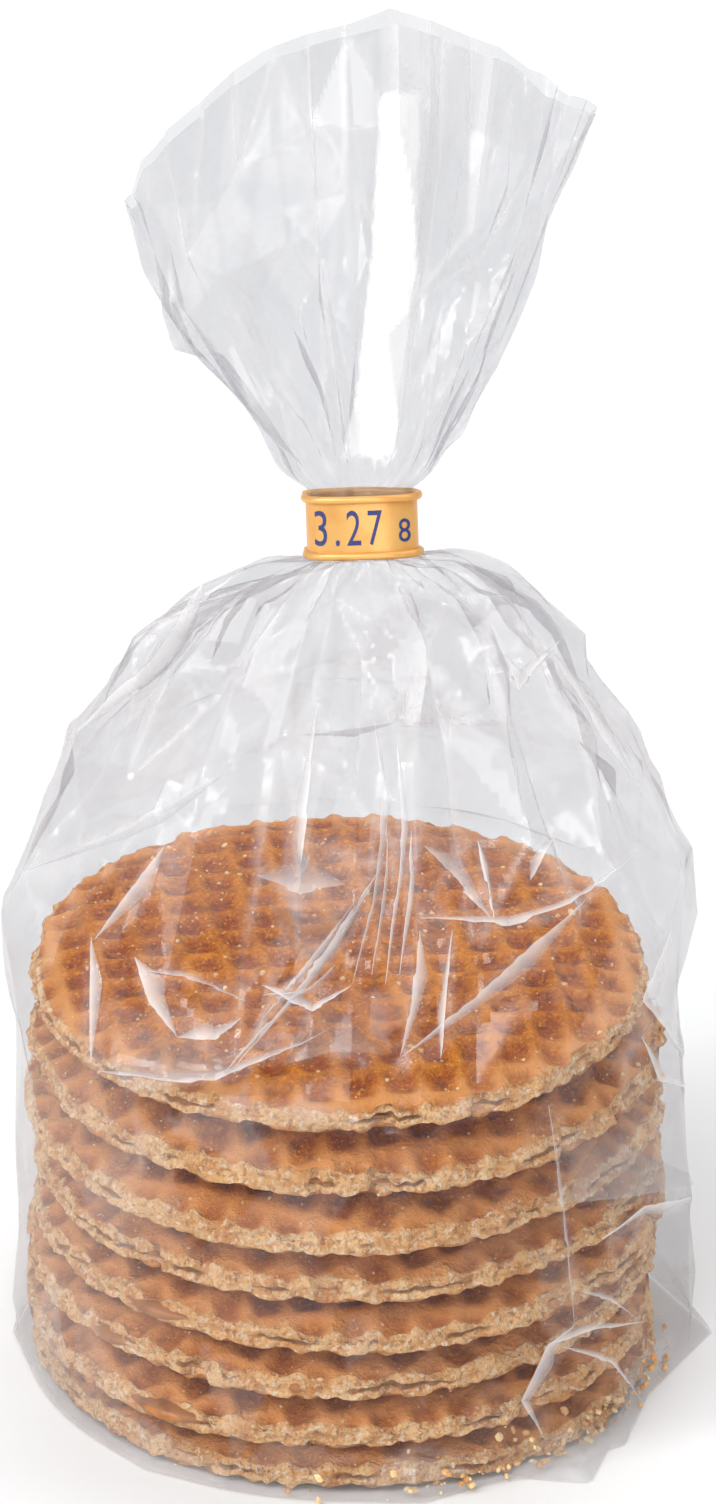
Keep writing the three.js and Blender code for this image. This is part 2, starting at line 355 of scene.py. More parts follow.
def to_rays(pixels):
    """Where the camera is, in millimetres, and which way it sees pixels of the photograph."""
    forward, up, distance = camera_view()
    offset = (np.asarray(pixels, dtype=float) - np.array(PHOTO_SIZE) / 2) / PIXELS_PER_MM
    ways = offset[..., :1] * [1, 0, 0] - offset[..., 1:] * up + forward * distance
    return np.array(CAMERA_TARGET) - forward * distance, ways


# Shader sums


class Signal:
    """A socket that can be used in Python sums, each of which adds its Math node."""

    def __init__(self, finish, socket):
        self.finish = finish
        self.socket = socket

    def sum(self, operation, first, second, clamp=False):
        settings = {"operation": operation, "use_clamp": clamp}
        return self.finish.signal("ShaderNodeMath", 0, settings, {0: first, 1: second})

    def __add__(self, other):
        return self.sum("ADD", self, other)

    def __radd__(self, other):
        return self.sum("ADD", other, self)

    def __sub__(self, other):
        return self.sum("SUBTRACT", self, other)

    def __rsub__(self, other):
        return self.sum("SUBTRACT", other, self)

    def __mul__(self, other):
        return self.sum("MULTIPLY", self, other)

    def __rmul__(self, other):
        return self.sum("MULTIPLY", other, self)

    def __pow__(self, other):
        return self.sum("POWER", self, other)

    def clamped(self):
        return self.sum("ADD", self, 0.0, clamp=True)


class Finish:
    """A material and the nodes that paint it."""

    def __init__(self, name):
        self.material = bpy.data.materials.new(name)
        self.material.use_nodes = True
        self.nodes = self.material.node_tree.nodes
        self.links = self.material.node_tree.links
        self.nodes.clear()

    def node(self, kind, settings, inputs):
        """Adds a node: its settings first, then the values or links of its sockets."""
        made = self.nodes.new(kind)
        for key, value in settings.items():
            setattr(made, key, value)
        for key, value in inputs.items():
            if isinstance(value, Signal):
                self.links.new(value.socket, made.inputs[key])
            else:
                made.inputs[key].default_value = value
        return made

    def signal(self, kind, output, settings, inputs):
        """The output of a new node."""
        return Signal(self, self.node(kind, settings, inputs).outputs[output])

    def shader(self, kind, inputs):
        """A shader of a kind such as BsdfPrincipled."""
        return self.signal("ShaderNode" + kind, 0, {}, inputs)

    def noise(self, size, detail=3, roughness=0.6):
        """Noise from 0 to 1 with lumps of about size millimetres."""
        place = self.signal("ShaderNodeTexCoord", "Object", {}, {})
        inputs = {"Vector": place, "Scale": 1 / (size * MM), "Detail": detail, "Roughness": roughness}
        return self.signal("ShaderNodeTexNoise", 0, {}, inputs)

    def point(self, name):
        """The number that a piece keeps for each of its points."""
        return self.signal("ShaderNodeAttribute", "Fac", {"attribute_name": name}, {})

    def between(self, low, high, value):
        """0 where value is below low, 1 where it is above high."""
        inputs = {"Value": value, "From Min": low, "From Max": high}
        return self.signal("ShaderNodeMapRange", 0, {"interpolation_type": "SMOOTHSTEP"}, inputs)

    def mix(self, first, second, share):
        """A colour between two colours."""
        return self.signal("ShaderNodeMix", 2, {"data_type": "RGBA"}, {0: share, 6: first, 7: second})

    def bump(self, height, distance, strength):
        """A normal from a height, where distance is the height of 1 in millimetres."""
        inputs = {"Height": height, "Distance": distance * MM, "Strength": strength}
        return self.signal("ShaderNodeBump", 0, {}, inputs)

    def surface(self, shader):
        """The finished material."""
        self.node("ShaderNodeOutputMaterial", {}, {"Surface": shader})
        return self.material


def colour(*values):
    """A colour from sRGB numbers of 0 to 255, in Blender's linear numbers."""
    shares = [v / 255 for v in values]
    return tuple(s / 12.92 if s <= 0.04045 else ((s + 0.055) / 1.055) ** 2.4 for s in shares) + (1.0,)


# Settings that a user would change


class PackStage(bpy.types.PropertyGroup):
    elevation: bpy.props.FloatProperty(
        name="Camera height", description="How far down the camera looks", default=math.radians(28.5),
        subtype="ANGLE",
    )
    distance: bpy.props.FloatProperty(
        name="Camera distance", description="From the camera to the pack", default=2.0, unit="LENGTH",
    )
    floor: bpy.props.FloatProperty(
        name="Floor", description="How pale the floor is", default=0.8, min=0, max=1, subtype="FACTOR",
    )
    ambient: bpy.props.FloatProperty(
        name="Room light", description="Strength of the even light from all round", default=0.55, min=0,
    )


class PackWafels(bpy.types.PropertyGroup):
    rim: bpy.props.FloatProperty(
        name="Rim", description="Thickness of the cut edge", default=3.4 * MM, unit="LENGTH",
    )
    grid: bpy.props.FloatVectorProperty(
        name="Grid", description="Width and depth of a cell of the pressed grid", size=2,
        default=(6.3 * MM, 6.4 * MM), unit="LENGTH",
    )
    pit: bpy.props.FloatProperty(
        name="Pit depth", description="Depth of a cell of the grid", default=1.15 * MM, unit="LENGTH",
    )
    crust: bpy.props.FloatVectorProperty(
        name="Crust", description="Colour of the baked ridges", size=4, default=colour(238, 146, 24),
        subtype="COLOR",
    )
    # The colour in the pits: their own darker bake, darkened further with painted shade.
    toast_and_pit_shade: bpy.props.FloatVectorProperty(
        name="Toast", description="Colour in the pits", size=4, default=colour(154, 66, 2),
        subtype="COLOR",
    )
    crumb: bpy.props.FloatVectorProperty(
        name="Crumb", description="Colour of the cut edge", size=4, default=colour(255, 206, 148),
        subtype="COLOR",
    )
    syrup: bpy.props.FloatVectorProperty(
        name="Syrup", description="Colour of the caramel", size=4, default=colour(186, 120, 62),
        subtype="COLOR",
    )


class PackFilm(bpy.types.PropertyGroup):
    wall: bpy.props.FloatProperty(
        name="Wall", description="Thickness of the film", default=0.08 * MM, unit="LENGTH",
    )
    tint: bpy.props.FloatVectorProperty(
        name="Tint", description="What one face of the film lets through", size=4,
        default=(0.912, 0.912, 0.918, 1.0), subtype="COLOR",
    )
    gloss: bpy.props.FloatProperty(
        name="Roughness", description="Roughness of the film", default=0.13, min=0, max=1,
        subtype="FACTOR",
    )
    crumple: bpy.props.FloatProperty(
        name="Crumple", description="How far the facets of the film stand out", default=2.2 * MM,
        unit="LENGTH",
    )


class PackBand(bpy.types.PropertyGroup):
    height: bpy.props.FloatProperty(
        name="Height", description="Height of the strip between its wired edges", default=10.0 * MM,
        unit="LENGTH",
    )
    gold: bpy.props.FloatVectorProperty(
        name="Gold", description="Colour of the strip", size=4, default=colour(228, 174, 100),
        subtype="COLOR",
    )
    ink: bpy.props.FloatVectorProperty(
        name="Ink", description="Colour of the figures", size=4, default=colour(38, 50, 112),
        subtype="COLOR",
    )
    figures: bpy.props.StringProperty(
        name="Figures", description="The stamped figures, the last one smaller", default="3.27 8",
    )


# Finishes


def wafel_finish():
    """Baked crust with darker pits, partly their bake and partly painted shade, and a pale crumb with
    pores where the wafel is cut, with painted shade in its holes and open seam and painted highlights on
    its pale grains.
    """
    sizes = bpy.context.scene.pack_wafels
    paint = Finish("wafel_crust")
    ridge = paint.point("ridge")
    edge = paint.point("edge")
    seam = paint.point("seam")
    patches = paint.noise(13, roughness=0.5)
    blotches = paint.noise(2.2)
    grain = paint.noise(0.6, 2)
    shares = paint.noise(7.0, 2, 0.5)

    # The pits of the grid are darker than the ridges: partly their own bake, partly painted shade in the
    # recesses. The dark scorched patches are stronger in the pits too.
    shade = ridge * (0.2 + patches * 0.6) + patches * 0.5 + blotches + (grain - 0.5) * 1.1 - 0.63
    crust = paint.mix(tuple(sizes.toast_and_pit_shade), tuple(sizes.crust), shade.clamped())
    scorched = paint.between(0.5, 0.66, paint.noise(2.8)) * (0.8 - 0.5 * ridge)
    crust = paint.mix(crust, colour(112, 48, 12), scorched)
    crust = paint.mix(crust, colour(248, 180, 78), paint.between(0.6, 0.7, grain) * 0.5)
    pallor = paint.between(0.02, 0.42, edge) * (ridge * 0.6 + shares * 0.5)
    crust = paint.mix(crust, colour(240, 166, 98), pallor.clamped())

    # The crumb has rich patches, pores and clumps of its own. Its dark holes are painted shade, and the
    # pale grains over them are painted highlights.
    crumb = tuple(sizes.crumb)
    for tone, low, high, noise, strength in (
        (colour(232, 166, 96), 0.4, 0.65, shares, 0.5),
        (colour(204, 132, 66), 0.5, 0.62, paint.noise(0.8, 2), 0.5),
        (colour(214, 134, 60), 0.5, 0.6, paint.noise(3.4), 0.5),
        (colour(140, 76, 32), 0.56, 0.64, paint.noise(1.5), 0.5),
        (colour(255, 236, 208), 0.55, 0.66, paint.noise(0.9, 2, 0.5), 0.7),
    ):
        crumb = paint.mix(crumb, tone, paint.between(low, high, noise) * strength)

    cut = paint.between(0.5, 0.8, edge + (blotches - 0.5) * 0.9 + (shares - 0.5) * 0.6)
    # The open seam between the two layers is darkened with a painted shade.
    seam_shade = paint.between(0.2, 0.8, seam + (blotches - 0.5) * 0.5) * 0.8
    skin = paint.mix(paint.mix(crust, crumb, cut), colour(140, 84, 38), seam_shade)
    height = grain * (0.4 + 0.6 * cut) + blotches
    inputs = {
        "Base Color": skin,
        "Roughness": 0.46 + 0.3 * cut + (grain - 0.5) * 0.25,
        "Specular IOR Level": 0.2,
        "Normal": paint.bump(height, 0.8, 1.0),
    }
    return paint.surface(paint.shader("BsdfPrincipled", inputs))


def syrup_finish():
    """Smooth set caramel."""
    paint = Finish("caramel_syrup")
    syrup = tuple(bpy.context.scene.pack_wafels.syrup)
    patches = paint.noise(3.0, 2, 0.5)
    inputs = {
        "Base Color": paint.mix(syrup, colour(122, 62, 20), paint.between(0.45, 0.75, patches) * 0.7),
        "Roughness": 0.26 + patches * 0.2,
        "Normal": paint.bump(paint.noise(1.6, 2, 0.5), 0.2, 0.5),
    }
    return paint.surface(paint.shader("BsdfPrincipled", inputs))


def crumb_finish():
    """Loose crumbs, from pale to baked."""
    paint = Finish("loose_crumbs")
    kind = paint.point("kind")
    inputs = {
        "Base Color": paint.mix(colour(214, 146, 74), colour(255, 226, 170), kind),
        "Roughness": 0.6 - 0.2 * kind,
        "Normal": paint.bump(paint.noise(0.3), 0.15, 0.6),
    }
    return paint.surface(paint.shader("BsdfPrincipled", inputs))


def film_finish():
    """Crisp clear film: it lets light through with a faint tint and mirrors it more at a slant.

    Where it is creased or folded double, it is a little milky, and the same milk is also painted on as
    reflections and highlights where each point asks for it."""
    sizes = bpy.context.scene.pack_film
    paint = Finish("clear_film")
    slant = paint.signal("ShaderNodeLayerWeight", "Facing", {}, {"Blend": 0.5})
    mirrored = 0.028 + 0.42 * slant**5.0
    clear = paint.shader("BsdfTransparent", {"Color": tuple(sizes.tint)})
    mirror = {"Base Color": (1.0, 1.0, 1.0, 1.0), "Metallic": 1.0, "Roughness": sizes.gloss}
    shown = paint.shader("MixShader", {0: mirrored, 1: clear, 2: paint.shader("BsdfPrincipled", mirror)})
    white = (0.98, 0.955, 0.95, 1.0)
    lit = paint.shader("BsdfPrincipled", {"Base Color": white, "Roughness": 0.5})
    through = paint.shader("BsdfTranslucent", {"Color": white})
    milk_and_sheen = paint.shader("MixShader", {0: 0.12, 1: lit, 2: through})
    return paint.surface(paint.shader("MixShader", {0: paint.point("haze_and_sheen"), 1: shown, 2: milk_and_sheen}))


def clear_finish(name, tint):
    """Film that only lets light through."""
    paint = Finish(name)
    return paint.surface(paint.shader("BsdfTransparent", {"Color": tint}))


def band_finish():
    """Gold foil with a fine rolled grain."""
    paint = Finish("gold_foil")
    gold = tuple(bpy.context.scene.pack_band.gold)
    cloud = paint.noise(5.0, roughness=0.5)
    grain = paint.noise(0.35)
    inputs = {
        "Base Color": paint.mix(gold, colour(218, 146, 66), paint.between(0.4, 0.75, cloud) * 0.6),
        "Metallic": 0.4,
        "Roughness": 0.34 + (grain - 0.5) * 0.12,
        "Normal": paint.bump(grain + cloud * 2.0, 0.05, 0.6),
    }
    return paint.surface(paint.shader("BsdfPrincipled", inputs))


def ink_finish():
    """Matt stamped ink."""
    paint = Finish("stamped_ink")
    ink = tuple(bpy.context.scene.pack_band.ink)
    worn = paint.between(0.5, 0.8, paint.noise(0.4)) * 0.6
    skin = paint.mix(ink, colour(84, 96, 150), worn)
    return paint.surface(paint.shader("BsdfPrincipled", {"Base Color": skin, "Roughness": 0.5}))


def floor_finish():
    """A pale matt floor."""
    paint = Finish("pale_floor")
    level = bpy.context.scene.pack_stage.floor
    inputs = {"Base Color": (level, level, level, 1.0), "Roughness": 0.9}
    return paint.surface(paint.shader("BsdfPrincipled", inputs))


# Stage

# The soft lights: name, azimuth and elevation in degrees, distance, width and height in metres, and
# radiance. Azimuth 0 is the front and grows to the right.
LIGHTS = (
    ("key", -34, 50, 1.7, 1.3, 1.2, 3.7),
    ("strip", 6, 20, 1.6, 0.1, 0.9, 12.0),
    ("edge", -62, 34, 1.5, 0.14, 1.2, 10.0),
    ("fill", 80, 36, 1.5, 0.3, 1.2, 1.8),
    ("back", 158, 58, 1.6, 1.8, 1.4, 1.6),
)


def add_light(name, azimuth, elevation, distance, width, height, radiance):
    """A soft rectangular light that faces the pack."""
    target = Vector(CAMERA_TARGET) * MM
    turn = math.radians(azimuth)
    rise = math.radians(elevation)
    flat = math.cos(rise) * distance
    place = target + Vector((math.sin(turn) * flat, -math.cos(turn) * flat, math.sin(rise) * distance))
    bpy.ops.object.select_all(action="DESELECT")
    bpy.ops.object.light_add(type="AREA", location=place)
    light = bpy.context.active_object
    light.name = name
    light.rotation_euler = (target - place).to_track_quat("-Z", "Y").to_euler()
    light.data.shape = "RECTANGLE"
    light.data.size = width
    light.data.size_y = height
    light.data.energy = radiance * math.pi * width * height


class PACK_OT_stage(bpy.types.Operator):
    """Add the camera, the pale floor and the soft lights"""

    bl_idname = "pack.stage"
    bl_label = "Stage"

    def execute(self, context):
        scene = context.scene
        sizes = scene.pack_stage
        target = Vector(CAMERA_TARGET) * MM
        rise = sizes.elevation
        eye = target + Vector((0, -math.cos(rise), math.sin(rise))) * sizes.distance
        bpy.ops.object.select_all(action="DESELECT")
        bpy.ops.object.camera_add(location=eye, rotation=(math.pi / 2 - rise, 0, 0))
        camera = context.active_object
        camera.data.sensor_width = SENSOR
        camera.data.lens = PIXELS_PER_MM / MM * sizes.distance / PHOTO_SIZE[1] * SENSOR
        camera.data.clip_end = 20
        scene.camera = camera

        bpy.ops.mesh.primitive_plane_add(size=6)
        floor = context.active_object
        floor.name = "floor"
        floor.data.materials.append(floor_finish())

        world = bpy.data.worlds.new("room")
        world.use_nodes = True
        back = world.node_tree.nodes["Background"]
        back.inputs["Color"].default_value = (0.96, 0.98, 1.0, 1.0)
        back.inputs["Strength"].default_value = sizes.ambient
        scene.world = world
        for light in LIGHTS:
            add_light(*light)
        scene.view_settings.view_transform = "Standard"
        scene.cycles.transparent_max_bounces = 32
        scene.cycles.max_bounces = 4
        scene.cycles.diffuse_bounces = 2
        scene.cycles.glossy_bounces = 2
        scene.cycles.use_denoising = True
        return {"FINISHED"}


# Wafels


def wafel_outline(spec, thick, inner_rows):
    """Rows of a wafel from the middle of its top, over the rim, to the middle below.

    Each row has its distance from the axis, its height, and how much it belongs to the cut edge,
    the seam, the top and the underside."""
    rim = bpy.context.scene.pack_wafels.rim / MM
    radius = spec.radius
    seam = rim * SEAM_SHARE
    fall = 13.0  # how far in from the edge the top starts to fall to the rim
    rows = []
    inner = np.linspace(0, radius - fall - 2, inner_rows)
    outer = np.linspace(radius - fall - 1.2, radius - 0.5, 26)
    for r in np.concatenate([inner, outer]):
        drop = fade(0, 1, (r - (radius - fall)) / (fall + 4.5)) * (thick - rim)
        near = 0.45 * fade(radius - 8, radius - 1, r) + 0.35 * fade(radius - 1.2, radius - 0.3, r)
        rows.append((r, thick - drop, float(near), 0, 1, 0))
    rows += [
        (radius - 0.15, rim - 0.2, 0.9, 0, 0.7, 0),
        (radius - 0.05, rim - 0.6, 1, 0, 0.2, 0),
        (radius - 0.2, seam + 0.5, 1, 0.2, 0, 0),
        (radius - 0.5, seam + 0.28, 1, 0.8, 0, 0),
        (radius - 0.7, seam, 1, 1, 0, 0),
        (radius - 0.5, seam - 0.25, 1, 0.8, 0, 0),
        (radius - 0.1, seam - 0.45, 1, 0.2, 0, 0),
        (radius + 0.1, seam - 0.7, 1, 0, 0, 0),
        (radius + 0.25, seam - 1.05, 1, 0, 0, 0.1),
        (radius + 0.3, seam - 1.4, 0.9, 0, 0, 0.4),
        (radius + 0.1, 0.5, 0.7, 0, 0, 0.7),
        (radius - 0.2, 0.15, 0.35, 0, 0, 0.9),
        (radius - 0.8, 0.0, 0.1, 0, 0, 1),
    ]
    for r in np.linspace(radius - 1.8, 0, 8):
        rows.append((r, 0.0, 0, 0, 0, 1))
    return np.array(rows)


def pressed_grid(x, y, turn, seed):
    """1 on the ridges of the pressed grid and 0 on the floor of its pits."""
    cells = np.array(bpy.context.scene.pack_wafels.grid) / MM
    flat = np.stack([x, y, np.zeros_like(x)], axis=1)
    x = x + lumps(flat, 15, seed)
    y = y + lumps(flat, 15, seed + 1)
    a = math.radians(turn)
    across = (x * math.cos(a) + y * math.sin(a)) / cells[0]
    along = (y * math.cos(a) - x * math.sin(a)) / cells[1]
    ridges = [fade(0.3, 1.0, np.abs(v - np.floor(v) - 0.5) * 2) for v in (across, along)]
    return 1 - (1 - ridges[0]) * (1 - ridges[1] * 0.85)


def make_wafel(number, spec, thick, inner_rows):
    """One wafel: two baked layers with a seam between them and a pressed grid on both faces."""

    def rough(place, size, seed):
        """Smooth noise that differs from wafel to wafel."""
        return lumps(place, size, number + seed)

    outline = wafel_outline(spec, thick, inner_rows)
    rows = len(outline)
    piece, column, row = flat_sheet(f"wafel_{number}", WAFEL_COLUMNS, rows - 1)
    angle = column % WAFEL_COLUMNS / WAFEL_COLUMNS * math.tau
    distance, height, edge, seam, top, under = outline[row].T
    outwards = np.stack([np.cos(angle), np.sin(angle), np.zeros_like(angle)], axis=1)
    ring = outwards * spec.radius
    share = distance / spec.radius

    # The outline bulges, crumbs are bitten out of it, and others close the seam here and there.
    distance = distance + (rough(ring, 34, 0) * 0.75 + rough(ring, 8, 20) * 0.35) * share**4
    relief = fade(0.4, 0.85, edge)
    distance = distance - fade(0.3, 0.7, rough(ring + [0, 0, 30], 5, 90)) * 1.5 * relief
    open_seam = fade(-0.1, 0.5, rough(ring + [0, 0, 60], 4.5, 60))
    distance = distance + seam * (1 - open_seam) * 0.8

    x, y, _ = (outwards * distance[:, None]).T
    ridge = pressed_grid(x, y, spec.turn, number + 300)
    below = pressed_grid(x, y, spec.turn + 2, number + 320)
    flat = np.stack([x, y, height], axis=1)
    pit = bpy.context.scene.pack_wafels.pit / MM
    pit = pit * (1 - 0.1 * fade(spec.radius - 16, spec.radius - 3, distance))
    height = height - top * pit * (1 + 0.35 * rough(flat, 8, 80)) * (1 - ridge)
    height = height + under * 0.8 * (1 - below) * fade(0, 8, distance)

    # Slow warp of the whole wafel, and waves along its rim.
    warp = rough(ring * share[:, None], 30, 100) * 0.35
    height = height + warp * share**2 + rough(ring, 7, 120) * 0.3 * share**6
    points = np.stack([x, y, height], axis=1)

    # Crumbly relief on the cut edge, and a fine baked relief elsewhere.
    coarse = rough(points, 2.2, 140) * 0.5 + rough(points, 1.1, 160) * 0.55
    points += outwards * (coarse * relief)[:, None]
    points[:, 2] += rough(points, 1.3, 180) * 0.4 * relief
    baked = rough(points, 2.0, 200) * 0.14 + rough(points, 1.0, 220) * 0.1
    points[:, 2] += baked * np.maximum(top, under)
    points[:, 2] = np.maximum(points[:, 2], 0.02)

    # The wafel keeps clear of the film, and its poles are single points.
    reach = np.hypot(points[:, 0] + spec.shift[0], points[:, 1] + spec.shift[1])
    points[:, :2] *= np.minimum(1, WAFEL_REACH / np.maximum(reach, 1))[:, None]
    for row_end in (0, rows - 1):
        pole = row == row_end
        points[pole] = points[pole].mean(axis=0)
    place_points(piece, (points + [*spec.shift, spec.rim]) * MM)
    paint_points(piece, "ridge", np.where(under > 0.5, below, ridge))
    paint_points(piece, "edge", edge)
    paint_points(piece, "seam", seam * open_seam)
    close_seams(piece)
    bpy.ops.object.shade_smooth()
    return piece


class PACK_OT_wafels(bpy.types.Operator):
    """Add the eight wafels of the stack"""

    bl_idname = "pack.wafels"
    bl_label = "Wafels"

    def execute(self, context):
        crust = wafel_finish()
        above = WAFELS[0].rim + TOP_DOME
        for i, spec in enumerate(WAFELS):
            thick = min(above - spec.rim - WAFEL_GAP, THICKEST)
            piece = make_wafel(i + 1, spec, thick, LOWER_ROWS if i else TOP_ROWS)
            piece.data.materials.append(crust)
            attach(piece, BODY)
            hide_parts("bag")
            above = spec.rim
        return {"FINISHED"}


def make_syrup(number, spec):
    """The layer of caramel between the two halves of a wafel, as a flat ring in the seam."""
    columns, around = 360, 10
    piece, column, row = flat_sheet(f"caramel_{number}", columns, around)
    angle = column % columns / columns * math.tau
    turn = row % around / around * math.tau
    ring = np.stack([np.cos(angle), np.sin(angle), np.zeros_like(angle)], axis=1)
    reach = spec.radius - 1.25 + lumps(ring * spec.radius, 6, number + 240) * 0.45
    thick = np.full(len(angle), 0.55)
    for wafel, degrees, half, out, thicker in SYRUP_RUNS:
        if wafel == number:
            share = fade(0, 1, 1 - np.degrees(angle_away(angle, degrees)) / half)
            reach += share * (out + 1.0 + lumps(ring * 50, 3, number + 260) * 0.3)
            thick += share * thicker
    width = 2.4 + thick
    seam = bpy.context.scene.pack_wafels.rim / MM * SEAM_SHARE
    points = ring * (reach - width / 2 + np.cos(turn) * width / 2)[:, None]
    points[:, 2] = spec.rim + seam + np.sin(turn) * thick / 2
    points[:, :2] += np.array(spec.shift)
    place_points(piece, points * MM)
    close_seams(piece)
    bpy.ops.object.shade_smooth()
    return piece


class PACK_OT_syrup(bpy.types.Operator):
    """Add the caramel layer of each wafel"""

    bl_idname = "pack.syrup"
    bl_label = "Caramel"

    def execute(self, context):
        finish = syrup_finish()
        for i, spec in enumerate(WAFELS):
            piece = make_syrup(i + 1, spec)
            piece.data.materials.append(finish)
            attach(piece, BODY)
            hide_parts("bag")
        return {"FINISHED"}


def crumb_places(draw):
    """Where loose crumbs lie, on the wafels and in the foot of the bag, and their sizes."""
    places = []
    for i, count in enumerate(CRUMBS):
        spec = WAFELS[i]
        tree = surface_tree(bpy.data.objects[f"wafel_{i + 1}"])
        inner = 0.78 if i else 0.0  # on the lower wafels only the outer part shows
        for _ in range(count):
            r = spec.radius * math.sqrt(draw.uniform(inner, 0.98))
            a = draw.uniform(0, math.tau)
            start = Vector((r * math.cos(a), r * math.sin(a), spec.rim + 20)) * MM
            hit = tree.ray_cast(start, Vector((0, 0, -1)))[0]
            if hit is not None:
                places.append((np.array(hit) / MM, min(0.6, 0.15 + draw.exponential(0.1))))
    for _ in range(FOOT_CRUMBS):
        a = math.radians(draw.normal(-48, 22))
        r = draw.uniform(50.2, 52.5)
        place = np.array([r * math.cos(a), r * math.sin(a), draw.exponential(2.2) + 0.9])
        places.append((place, draw.uniform(0.2, 0.75)))
    return places


class PACK_OT_crumbs(bpy.types.Operator):
    """Scatter loose crumbs on the wafels and in the foot of the bag"""

    bl_idname = "pack.crumbs"
    bl_label = "Crumbs"

    def execute(self, context):
        bpy.ops.object.select_all(action="DESELECT")
        bpy.ops.mesh.primitive_ico_sphere_add(subdivisions=1, radius=1)
        seedling = context.active_object
        shape = points_of(seedling)
        faces = np.array([list(face.vertices) for face in seedling.data.polygons])
        draw = np.random.RandomState(7)
        points, corners, kinds = [], [], []
        for place, size in crumb_places(draw):
            spin, _ = np.linalg.qr(draw.normal(size=(3, 3)))
            spin = spin.T if np.linalg.det(spin) > 0 else -spin.T
            stretch = size * draw.uniform(0.6, 1.2, 3)
            lump = shape * (1 + draw.uniform(-0.28, 0.28, (len(shape), 1)))
            corners.append(faces + len(shape) * len(points))
            points.append((lump * stretch) @ spin + place)
            kinds += [draw.uniform(0, 1)] * len(shape)
        points = np.concatenate(points)
        points[:, 2] = np.maximum(points[:, 2], 0.05)
        mesh = bpy.data.meshes.new("crumbs")
        mesh.from_pydata(points * MM, [], np.concatenate(corners).tolist())
        seedling.data = mesh
        seedling.name = "crumbs"
        paint_points(seedling, "kind", kinds)
        close_seams(seedling)
        mesh.materials.append(crumb_finish())
        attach(seedling, BODY)
        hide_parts("bag")
        return {"FINISHED"}


# Film


def section_axes(lean, roll):
    """The directions across, back and up of sections with these leans and rolls."""
    lean, roll = np.broadcast_arrays(lean, roll)
    nought = np.zeros_like(lean, dtype=float)
    across = np.stack([np.cos(roll), nought, np.sin(roll)], axis=-1)
    back = np.stack([nought, np.cos(lean), -np.sin(lean)], axis=-1)
    up = np.cross(across, back)
    return across, back, up / np.linalg.norm(up, axis=-1, keepdims=True)


def pleat_columns():
    """The angle of each column of the film, and how far its pleat folds out, from -1 to 1.

    Each pleat has four quarters, and each quarter has FILM_FINE columns."""
    angles = []
    for side in range(2):
        widths = 0.7 + 0.6 * uneven(np.arange(PLEATS // 2), side + 1)
        edges = np.concatenate([[0], np.cumsum(widths)]) / widths.sum()
        for k in range(PLEATS // 2):
            for quarter in range(4):
                angles.append(math.pi * (side + edges[k] + (edges[k + 1] - edges[k]) * quarter / 4))
    pleat = np.arange(4 * PLEATS)
    out = np.array([0, 1, 0, -1])[pleat % 4] * (0.6 + 0.7 * uneven(pleat // 4, 5))
    place = np.arange(4 * PLEATS * FILM_FINE) / FILM_FINE
    corners = np.arange(4 * PLEATS + 1)
    angle = np.interp(place, corners, angles + [math.tau])
    fold = np.interp(place, corners, np.append(out, out[0])) * np.abs(np.sin(angle))
    return angle, fold


def crease_reach(angle, t):
    """How far the upright creases stand out of the round bag at an angle and a share of height."""
    reach = np.zeros(np.broadcast(angle, t).shape)
    for degrees, foot, top in CREASES:
        half = np.arccos(BAG_RADIUS / (BAG_RADIUS + foot + (top - foot) * t))
        away = angle_away(angle, degrees)
        flat = BAG_RADIUS / np.cos(np.maximum(half - away, 0)) - BAG_RADIUS
        reach = np.maximum(reach, np.where(away < half, flat, 0))
    return reach


def tab_reach(angle, z):
    """How far the folded seal stands out at the foot."""
    away = np.degrees(angle_away(angle, SEAL_TAB["angle"]))
    share = np.maximum(0, 1 - away / SEAL_TAB["spread"])
    return SEAL_TAB["reach"] * share * (1 - fade(0, SEAL_TAB["height"], z))


def wall_rings(angle, z):
    """Rings of the upright wall: a row for each z."""
    z = z[:, None]
    radius = BAG_RADIUS + crease_reach(angle, z / STACK_TOP) + tab_reach(angle, z)
    z = np.broadcast_to(z, radius.shape)
    return np.stack([np.cos(angle) * radius, np.sin(angle) * radius, z], axis=-1)


def shoulder_rings(angle, fold, u):
    """Rings of the shoulder: a row for each u, from 0 at the wall to 1 at the neck."""
    u = u[:, None]
    c, s = np.cos(angle), np.sin(angle)
    across, back, _ = section_axes(NECK_LEAN * fade(0, 1, u), NECK_ROLL * u)
    foot = NECK_CENTRE - section_axes(NECK_LEAN, NECK_ROLL)[2] * NECK_HALF
    rise = STACK_TOP + (foot[2] - STACK_TOP) * u
    centre = np.stack([foot[0] * u, foot[1] * u**1.5, rise], axis=-1)
    deep = NECK_INNER[1] + (BAG_RADIUS - NECK_INNER[1]) * (1 - u) ** 0.92
    pleat = SHOULDER_PLEAT * np.minimum(1, (1 - u) / 0.08) * fade(0, 0.45, u)
    wide = np.where(c < 0, profile(SHOULDER_LEFT, u), profile(SHOULDER_RIGHT, u))
    stand = crease_reach(angle, 1.0) * (1 - u) + fold * pleat
    out = 1 + stand / np.maximum(deep, 12)
    x = wide * c * (1 + (out - 1) * np.abs(s))
    y = deep * s * out
    return centre + across * x[..., None] + back * y[..., None]


def neck_rings(angle, height):
    """Rings inside the band, a row for each height above its middle."""
    across, back, up = section_axes(NECK_LEAN, NECK_ROLL)
    x = NECK_INNER[0] * np.cos(angle)
    y = NECK_INNER[1] * np.sin(angle)
    ring = NECK_CENTRE + across * x[:, None] + back * y[:, None]
    return ring + up * height[:, None, None]


